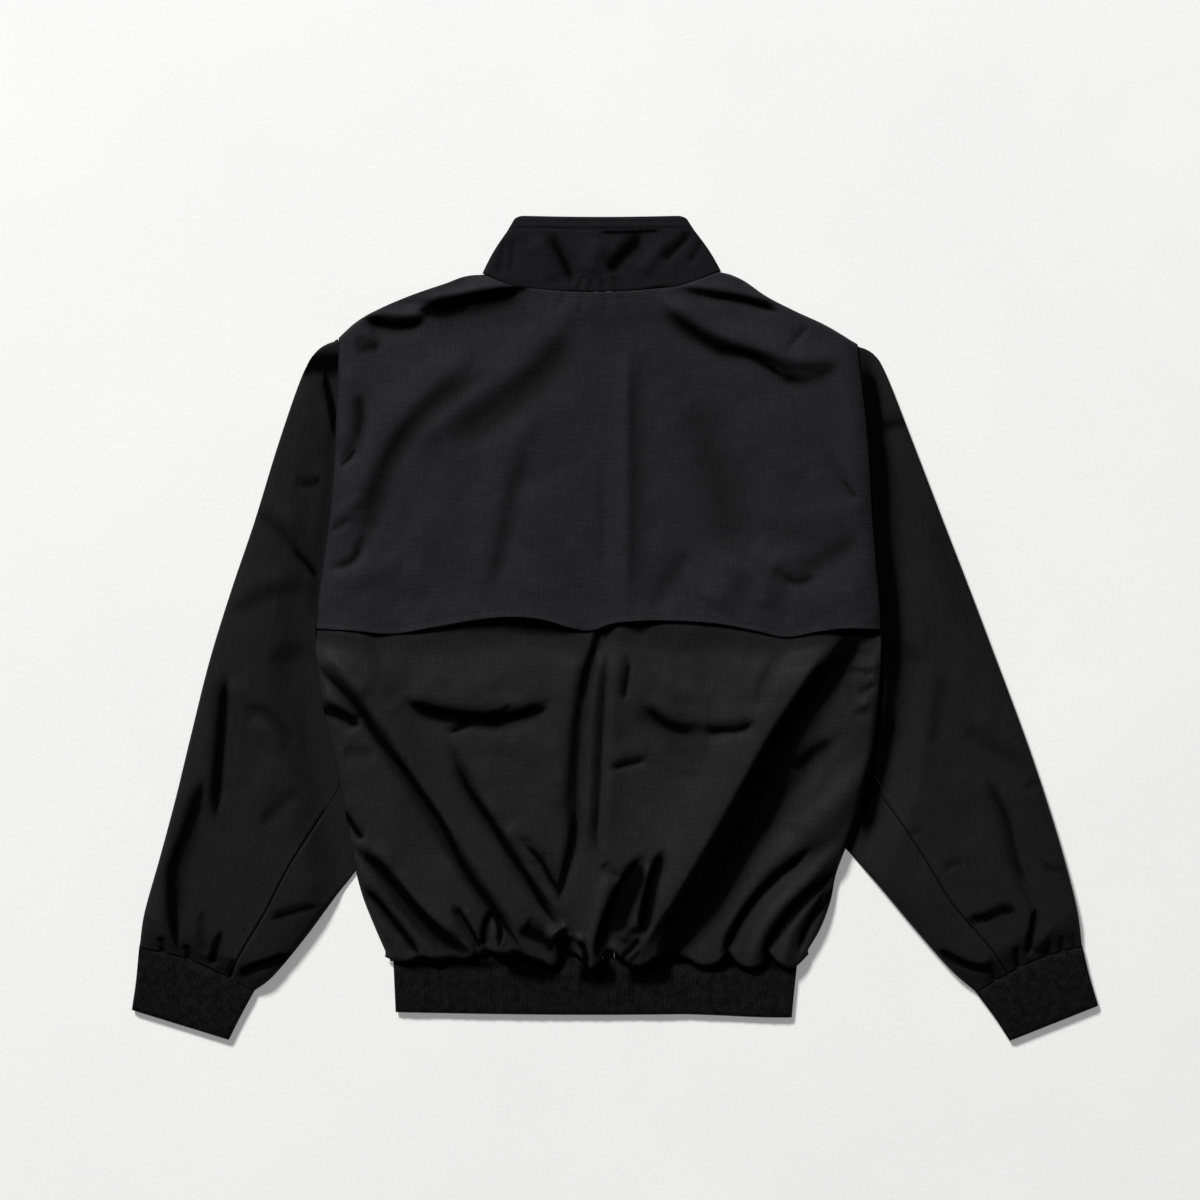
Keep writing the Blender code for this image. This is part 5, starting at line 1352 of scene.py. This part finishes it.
def cuff(side):
    at = np.concatenate([np.linspace(0, 1.86, 16), [1.93, 1.97, 2.0]])
    read = read_sections(CUFFS[side], CUFF_COLUMNS, at)
    width = np.hypot(read["inner_x"] - read["outer_x"], read["inner_y"] - read["outer_y"])
    ribs_round = round(2 * float(width[0, 0]) / RIB_PITCH)
    columns = 4 * ribs_round
    share = np.arange(columns)[None, :] / columns
    over = share < 0.5
    across = np.where(over, 2 * share, 2 - 2 * share)
    x = read["outer_x"] + (read["inner_x"] - read["outer_x"]) * across
    y = read["outer_y"] + (read["inner_y"] - read["outer_y"]) * across
    bow = read["bow"] * np.sin(math.pi * across) ** 1.2
    x, y = x + 0.35 * bow * OUT[side], y + 0.9 * bow
    down = (at / 2.0)[:, None]
    top = tube_top(across, width, KNIT_FOLD_Z, CUFF_Z - 1.4 * down - 1.2 * np.exp(-down / 0.05))
    lip = np.clip((at - 1.86) / 0.14, 0, 1)[:, None]
    top = KNIT_FOLD_Z + (top - KNIT_FOLD_Z) * np.sqrt(1 - 0.75 * lip ** 2)
    under = KNIT_LIFT + under_round(np.minimum(across, 1 - across) * width, KNIT_FOLD_Z - KNIT_LIFT)
    z = np.where(over, top, under)
    # a first row that is tucked up into the sleeve, where the seam is sewn
    tucked_x, tucked_y = x[:1] + (x[:1] - x[1:2]) * 0.8, y[:1] + (y[:1] - y[1:2]) * 0.8
    x, y = np.concatenate([tucked_x, x]), np.concatenate([tucked_y, y])
    z = np.concatenate([np.minimum(z[:1], 3.0), z])
    at = np.concatenate([[-0.1], at])
    around = share * ribs_round * RIB_PITCH + 0 * z
    grain = (around, -at[:, None] * 30.0 + 0 * z)
    if side == "left":
        x, y, z, around = x[:, ::-1], y[:, ::-1], z[:, ::-1], around[:, ::-1]
    return cloth(f"cuff_{side}_knit", x, y, z, knit_cloth, [f"cuff_{side}"],
                 thickness=KNIT_THICKNESS, closed=True, grain=grain, ribs_at=around)


cuff_left_knit, cuff_right_knit = cuff("left"), cuff("right")

# %% [markdown]
# ## The hem band
#
# The band runs from the zip round one side, over the back and round the other side to the zip again. The
# body is gathered onto it, so it swells in soft waves, which run across its finer ribs.

# %% The hem band
HEM_BAND_Z = 8.0
HEM_BAND_START_Z = 4.4      # where the band is tucked up into the hem
HEM_WAVES = 31
HEM_BAND_LEFT = (-208.0, -205.5)    # at its seam and at its lower edge
HEM_BAND_RIGHT = (172.0, 166.5)
BAND_SHADED = (             # the tucks' shadow, painted on the knit below the deepest of them
    (1.0, 4, 5, [(394, 964), (430, 964), (470, 964), (510, 964)]),
    (1.6, 6, 8, [(504, 962), (524, 969), (544, 972), (562, 966)]),
    (1.9, 8, 9, [(578, 968), (598, 974), (618, 970)]),
    (1.9, 9, 9, [(626, 970), (650, 974), (674, 966)]),
    (1.0, 4, 4, [(690, 966), (724, 964), (762, 966), (802, 962)]),
)


def hem_band():
    down = np.concatenate([np.linspace(0, 0.93, 18), [0.965, 0.985, 1.0]])[:, None]
    left = HEM_BAND_LEFT[0] + (HEM_BAND_LEFT[1] - HEM_BAND_LEFT[0]) * down
    right = HEM_BAND_RIGHT[0] + (HEM_BAND_RIGHT[1] - HEM_BAND_RIGHT[0]) * down
    step = RIB_PITCH / 4
    zip_left, zip_right = FRONT_EDGE_X["left"], FRONT_EDGE_X["right"]
    counts = [round(length / step) for length in (zip_left - HEM_BAND_LEFT[0],
                                                  HEM_BAND_RIGHT[0] - HEM_BAND_LEFT[0],
                                                  HEM_BAND_RIGHT[0] - zip_right)]
    under_left = np.linspace(1, 0, counts[0] + 1)[None, :-1]
    over = np.linspace(0, 1, counts[1] + 1)[None, :]
    under_right = np.linspace(0, 1, counts[2] + 1)[None, 1:]
    x = np.concatenate([left + (zip_left - left) * under_left, left + (right - left) * over,
                        right + (zip_right - right) * under_right], axis=1)
    top_side = np.concatenate([0 * under_left, 0 * over + 1, 0 * under_right], axis=1) > 0
    across = (x - left) / (right - left)
    hidden = np.where(top_side, 9.0, 0.0)
    top_y = hem_seam_y(x) - 0.3 + hidden
    bottom_y = HEM_BOTTOM_Y - 2.5 * np.sin(math.pi * across) - 5.0 * ease((across - 0.7) / 0.3)
    y = top_y + (bottom_y - top_y) * down
    fraction = across * HEM_WAVES
    swell = crumple(x, y * 0.4, seed=31, shortest=20.0, longest=60.0)
    wave = 0.25 * np.sin(2 * math.pi * fraction) + 0.5 * swell
    shown = ease((hem_seam_y(x) + 3.0 - y) / 12.0)
    rise = HEM_BAND_START_Z + (HEM_BAND_Z - HEM_BAND_START_Z) * shown
    lip = np.clip((down - 0.93) / 0.07, 0, 1)
    height = rise + wave * ease((hem_seam_y(x) - y) / 10.0) - down
    height = KNIT_FOLD_Z + np.maximum(height - KNIT_FOLD_Z, 0) * np.sqrt(1 - 0.7 * lip ** 2)
    top = tube_top(np.clip(across, 0, 1), right - left, KNIT_FOLD_Z, height, 24.0)
    near = np.minimum(x - left, right - x)
    z = np.where(top_side, top, KNIT_LIFT + under_round(near, KNIT_FOLD_Z - KNIT_LIFT))
    around = np.arange(x.shape[1])[None, :] * step + 0 * z
    # painted shadow of the gathered tucks on the knit
    painted_shade = np.where(top_side, painted_shade_map(x, y, (), BAND_SHADED), 0.0)
    return cloth("hem_band_knit", x[::-1], y[::-1], z[::-1], knit_cloth, ["hem_band"],
                 thickness=KNIT_THICKNESS, grain=(around[::-1], y[::-1]), painted_shade=painted_shade[::-1], ribs_at=around)


hem_knit = hem_band()

# %% [markdown]
# ## The collar
#
# A stand collar of the shell cloth with a stiffening inside. Folded flat, its back lies over its front,
# and a stitched band runs along its free edge. It is creased where it has been folded down.

# %% The collar
COLLAR_SEAM_X = (-124.0, 100.0)
COLLAR_TOP_X = (-94.0, 68.0)
COLLAR_TOP_Y = 387.6
COLLAR_BAND = 12.0          # from the free edge to the band's stitching
COLLAR_FRONT_HEIGHT = 63.0
COLLAR_THICKNESS = 1.4      # with its stiffening
COLLAR_FOLD_Z = 3.8
COLLAR_FOLDS = (
    (-2.8, 5, 6, 0.3, [(548, 232), (556, 244), (566, 264), (574, 288)]),
    (1.8, 9, 8, [(534, 238), (544, 260), (552, 284)]),
    (-3.4, 6, 6, 0.3, [(644, 234), (632, 246), (620, 258), (608, 274)]),
    (1.9, 8, 9, [(600, 240), (596, 256), (590, 276)]),
    (2.0, 9, 8, [(668, 240), (654, 256), (640, 276)]),
    (-2.6, 5, 5, 0.4, [(692, 231), (678, 246), (660, 262)]),
    (-2.2, 4, 4, 0.4, [(704, 236), (698, 250), (688, 266)]),
    (-1.6, 4, 4, 0.2, [(504, 236), (502, 256), (498, 278)]),
    (-1.4, 3, 3, 0.2, [(514, 238), (512, 258), (511, 276)]),
    (-1.2, 2.4, 2.4, 0.4, [(578, 294), (580, 286), (584, 276)]),
    (-1.2, 2.4, 2.4, 0.4, [(590, 294), (591, 286), (593, 278)]),
    (-1.2, 2.4, 2.4, 0.4, [(602, 294), (603, 287), (604, 280)]),
    (-1.2, 2.4, 2.4, 0.4, [(616, 294), (616, 286), (614, 277)]),
)
# painted shade along the neck seam and the band's stitching, and in the creases
COLLAR_SHADED = (
    (1.4, 1.6, 2.4, [(552, 292), (584, 293), (620, 293), (654, 289), (676, 284)]),
    (1.4, 1.4, 1.8, [(596, 233), (620, 233), (644, 232), (664, 231)]),
    (0.7, 7, 7, [(642, 238), (628, 250), (616, 262), (606, 276)]),
    (0.5, 3, 3, [(690, 233), (678, 246), (662, 262)]),
    (0.5, 4, 4, [(550, 238), (560, 256), (572, 280)]),
)


def collar():
    first, last = [0, 0.012, 0.03], [0.965, 0.98, 0.992, 1.0]
    up = np.concatenate([first, np.linspace(0.05, 0.95, 44), last])[:, None]
    width = (COLLAR_SEAM_X[1] - COLLAR_SEAM_X[0]) * (1 - up) + (COLLAR_TOP_X[1] - COLLAR_TOP_X[0]) * up
    near_fold = np.array([0.0, 0.2, 0.6, 1.3, 2.3, 3.8])[None, :] / width
    middle = np.linspace(0, 1, 120)[None, 1:-1]
    over = np.concatenate([near_fold, near_fold[:, -1:] + (1 - 2 * near_fold[:, -1:]) * middle,
                           1 - near_fold[:, ::-1]], axis=1)
    seam_x = COLLAR_SEAM_X[0] + (COLLAR_SEAM_X[1] - COLLAR_SEAM_X[0]) * over
    top_x = COLLAR_TOP_X[0] + (COLLAR_TOP_X[1] - COLLAR_TOP_X[0]) * over
    seam_y = top_edge(seam_x) + 0.3 + 1.2 * np.abs(2 * over - 1) ** 8
    bow = 1.6 * np.sin(math.pi * np.clip(up * 1.3, 0, 1)) * (2 * over - 1)
    back_x = seam_x + (top_x - seam_x) * up + bow
    near_left, near_right = (np.clip(1 - share * width / 9.0, 0, 1) for share in (over, 1 - over))
    corner = 3.0 * (near_left ** 2 + near_right ** 2)
    back_y = seam_y + (COLLAR_TOP_Y - 1.2 * np.sin(math.pi * over) - corner - seam_y) * up
    from_top = (1 - up) * (COLLAR_TOP_Y - seam_y)
    height = COLLAR_Z - 2.2 * up + fold_heights(back_x, back_y, COLLAR_FOLDS) * ease((from_top - 9) / 8)
    height = height + 0.35 * crumple(back_x, back_y, seed=41, shortest=10.0, longest=50.0)
    height = height - 0.8 * bell(from_top - COLLAR_BAND, 1.0)
    height = height + 0.45 * bell(from_top - COLLAR_BAND + 3.0, 2.2)
    lip = quarter_round(from_top / 3.0)
    height = np.maximum(COLLAR_FOLD_Z + (height - COLLAR_FOLD_Z) * (0.35 + 0.65 * lip), 5.0)
    back_z = tube_top(over, width, COLLAR_FOLD_Z, height, 6.0)
    # the two fronts of the collar lie below, each from the zip out to the fold
    near = np.array([12.0, 8.0, 5.5, 3.8, 2.3, 1.3, 0.6, 0.2])[None, :]
    fronts = []
    for side, fold in (("left", slice(0, 1)), ("right", slice(-1, None))):
        fold_x, fold_y, start = back_x[:, fold], back_y[:, fold], FRONT_EDGE_X[side]
        length = np.abs(fold_x - start)
        flat = (1 - near[0, 0] / length) * np.linspace(0, 1, 26)[None, :-1]
        share = np.concatenate([flat, 1 - near / length], axis=1)
        front_x = start + (fold_x - start) * share
        neck_x = start + (SHOULDERS[side][0][0] - start) * share
        front_y = front_neck_y(neck_x) + 0.3 + COLLAR_FRONT_HEIGHT * up
        front_y = front_y + (fold_y - front_y) * share ** 6
        fronts.append((front_x, front_y, under_round((1 - share) * length, COLLAR_FOLD_Z)))
    x, y, z = (np.concatenate([left, back, right[:, ::-1]], axis=1)
               for left, back, right in zip(fronts[0], (back_x, back_y, back_z), fronts[1]))
    # painted shade in the collar's creases and along its seams
    painted_shade = np.where(z > COLLAR_FOLD_Z, painted_shade_map(x, y, COLLAR_FOLDS, COLLAR_SHADED), 0.0)
    return cloth("collar_cloth", x, y, z, collar_twill, ["collar"], thickness=COLLAR_THICKNESS,
                 painted_shade=painted_shade)


collar_cloth = collar()

# %% [markdown]
# ## Topstitching
#
# Topstitching is a row of short dashes of thread, each sunk at both ends where the needle went down.
# Geometry Nodes turns paths on the cloth into curves, puts a point every stitch, and sets a small
# rounded dash on each point. The dashes are then made real, as one plain mesh.

# %% Stitches
STITCH_SPACING = 3.2
STITCH_SIZE = (2.3, 0.62, 0.5)      # length, width and height
STITCH_LIFT = 0.12          # how far a stitch's middle stands above the cloth


def stitch_tree():
    tree, identifiers, given = start_tree("stitches", Spacing="Float", Size="Vector")
    curve = add_node(tree, "GeometryNodeMeshToCurve", {"Mesh": given["Geometry"]})
    spots = add_node(tree, "GeometryNodeResampleCurve", {
        "Curve": curve.outputs[0], "Length": given["Spacing"]}, mode="LENGTH")
    tangent = add_node(tree, "GeometryNodeInputTangent").outputs["Tangent"]
    turned = add_node(tree, "FunctionNodeAlignRotationToVector", {"Vector": tangent}, axis="X")
    dash = add_node(tree, "GeometryNodeMeshUVSphere", {"Segments": 6, "Rings": 4, "Radius": 0.5})
    sized = add_node(tree, "GeometryNodeTransform", {"Geometry": dash.outputs[0], "Scale": given["Size"]})
    rows = add_node(tree, "GeometryNodeInstanceOnPoints", {
        "Points": spots.outputs[0], "Instance": sized.outputs[0], "Rotation": turned.outputs[0]})
    finish_tree(tree, rows.outputs[0], given["Finish"])
    return tree, identifiers


stitches, stitch_inputs = stitch_tree()


def stitch_lines(name, lines, finish=thread, spacing=STITCH_SPACING, size=STITCH_SIZE):
    """lines holds rows of points in millimetres, each a path that a row of stitches follows."""
    points, edges = [], []
    for line in lines:
        first = len(points)
        points += (np.asarray(line) * MM).tolist()
        edges += [(first + k, first + k + 1) for k in range(len(line) - 1)]
    mesh = bpy.data.meshes.new(name)
    mesh.from_pydata(points, edges, [])
    made = placed(name, mesh)
    run_tree(made, stitches, stitch_inputs, Spacing=spacing * MM, Size=tuple(s * MM for s in size),
             Finish=finish)
    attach(made, "root")
    print(name, "has", len(made.data.polygons), "faces")
    return made


def on_yoke(x, y, lift=STITCH_LIFT):
    return np.stack([x, y, yoke_height(x, y) + lift], axis=-1)


hem_x = np.linspace(-274, 244, 320)
armhole_y = np.linspace(262, 6, 180)
left_armhole = on_yoke(body_edge(armhole_y, "left") + STITCHED_AT, armhole_y)
right_armhole = on_yoke(body_edge(armhole_y, "right") - STITCHED_AT, armhole_y)
neck_x = np.linspace(-112, 90, 120)
yoke_stitches = stitch_lines("yoke_stitches", [
    on_yoke(hem_x, yoke_hem(hem_x) + STITCHED_AT), left_armhole, right_armhole,
    on_yoke(neck_x, top_edge(neck_x) - 5.0, lift=0.2),
])


def sleeve_seam_line(side, beside):
    read = sleeve_sections(side, 260)
    across = read["seam"] - beside / read["width"]
    x, y = sleeve_points(side, read, across)
    z = sleeve_top(x, y, across, read, side)
    shown = (read["down"][:, 0] > 0.52) & (read["down"][:, 0] < 0.985)
    return np.stack([x[:, 0], y[:, 0], z[:, 0] + STITCH_LIFT], axis=-1)[shown]


stitch_lines("sleeve_stitches", [sleeve_seam_line(side, 5.5) for side in OUT])

# %% [markdown]
# ## The zip
#
# The zip is closed and lies against the floor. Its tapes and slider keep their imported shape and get
# their finish here. The teeth are small bars that reach in turn from each side, one every 2.4 mm.

# %% The zip
TOOTH_PITCH = 2.4
TOOTH_SIZE = (1.5, 3.9, 1.9)

zip_finishes = {"zip_tape_left": tape_cloth, "zip_tape_right": tape_cloth, "zip_slider": zip_metal}
for node, finish in zip_finishes.items():
    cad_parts[node].data.materials.clear()
    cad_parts[node].data.materials.append(finish)

low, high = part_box("zip_teeth")
tooth_y = np.linspace(low[1] / MM + 1.0, high[1] / MM - 1.0, 40)
zip_teeth_rows = stitch_lines("zip_teeth_rows", [
    np.stack([CENTRE_X - 0.75 + 0 * tooth_y, tooth_y, 1.0 + 0 * tooth_y], axis=-1),
    np.stack([CENTRE_X + 0.75 + 0 * tooth_y, tooth_y - TOOTH_PITCH / 2, 1.0 + 0 * tooth_y], axis=-1),
], finish=zip_metal, spacing=TOOTH_PITCH, size=TOOTH_SIZE)
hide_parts("zip_teeth")

# %% [markdown]
# ## What each piece of cloth was cut from
#
# Each piece of cloth is cut from its own sheet, and the count of these sheets is printed.

# %% Sheets
print("sheets: 4 of the body, 4 of the sleeves, 1 of the collar and 3 of knit")

# %% [markdown]
# ## The table
#
# The table is one flat face, matt and nearly white, like a sheet of milky plastic on a light box.

# %% Floor
FLOOR_BELOW = 0.0004
FLOOR_REACH = 4             # metres each way from the middle
WHITE = (1.0, 1.0, 1.0, 1.0)


def pale_plaster(name):
    made, tree, shader = new_material(name)
    place = add_node(tree, "ShaderNodeTexCoord").outputs["Object"]
    clouds = noise(tree, place, 3.5, 8.0, Roughness=0.62)
    colour = blend(tree, clouds, linear("#c9c9c9"), linear("#d6d6d5"))
    grain = relief(tree, noise(tree, place, 240.0, 4.0), 0.25, 0.0008)
    set_inputs(shader, {"Base Color": colour, "Normal": grain})
    set_inputs(shader, {"Roughness": 0.9, "Specular IOR Level": 0.1})
    # the table's top is a milky sheet with light below it, which keeps the shadows pale
    set_inputs(shader, {"Emission Color": WHITE, "Emission Strength": 0.24})
    return made


corners = [(x * FLOOR_REACH, y * FLOOR_REACH, -FLOOR_BELOW) for x, y in ((-1, -1), (1, -1), (1, 1), (-1, 1))]
floor_mesh = bpy.data.meshes.new("floor")
floor_mesh.from_pydata(corners, [], [(0, 1, 2, 3)])
floor_mesh.materials.append(pale_plaster("pale_plaster"))
floor = placed("floor", floor_mesh)

# %% [markdown]
# ## The light
#
# Black cloth shows its shape only by light from the side. One large lamp stands high at the upper left,
# so that slopes that face it bloom and slopes that face away go black. A weak even light from all round
# keeps the hollows from closing up.

# %% Light
KEY_TO_LIGHT = (-0.48, 0.88)        # in the plane of the floor
KEY_ELEVATION = math.radians(38.0)
KEY_DISTANCE = 14.0
KEY_SIZE = 2.8
KEY_POWER = 3000.0
WORLD_STRENGTH = 0.07

lamp = bpy.data.lights.new("key_light", "AREA")
lamp.shape, lamp.size, lamp.energy = "DISK", KEY_SIZE, KEY_POWER
flat = Vector((*KEY_TO_LIGHT, 0)).normalized() * math.cos(KEY_ELEVATION)
spot = Vector((flat.x, flat.y, math.sin(KEY_ELEVATION))) * KEY_DISTANCE
key_light = placed("key_light", lamp)
key_light.location = spot
key_light.rotation_euler = spot.to_track_quat("Z", "Y").to_euler()

world = bpy.data.worlds.new("studio")
bpy.context.scene.world = world
world.use_nodes = True
set_inputs(world.node_tree.nodes["Background"], {"Color": WHITE, "Strength": WORLD_STRENGTH})
bpy.context.scene.view_settings.view_transform = "Standard"

# %% [markdown]
# ## The camera
#
# A garment laid flat is shown from straight above with a long lens, so that nothing leans outward. The
# camera is a little over 3 m up, and its lens is worked out from the width that it has to take in.

# %% Camera
VIEW_MIDDLE = (-0.0136, 0.0268)
VIEW_WIDTH = 1.128
CAMERA_HEIGHT = 3.13

lens = bpy.data.cameras.new("camera")
lens.sensor_width = 36.0
lens.lens = lens.sensor_width * CAMERA_HEIGHT / VIEW_WIDTH
camera = placed("camera", lens)
camera.location = (*VIEW_MIDDLE, CAMERA_HEIGHT)
bpy.context.scene.camera = camera
print(f"lens {lens.lens:.0f} mm")
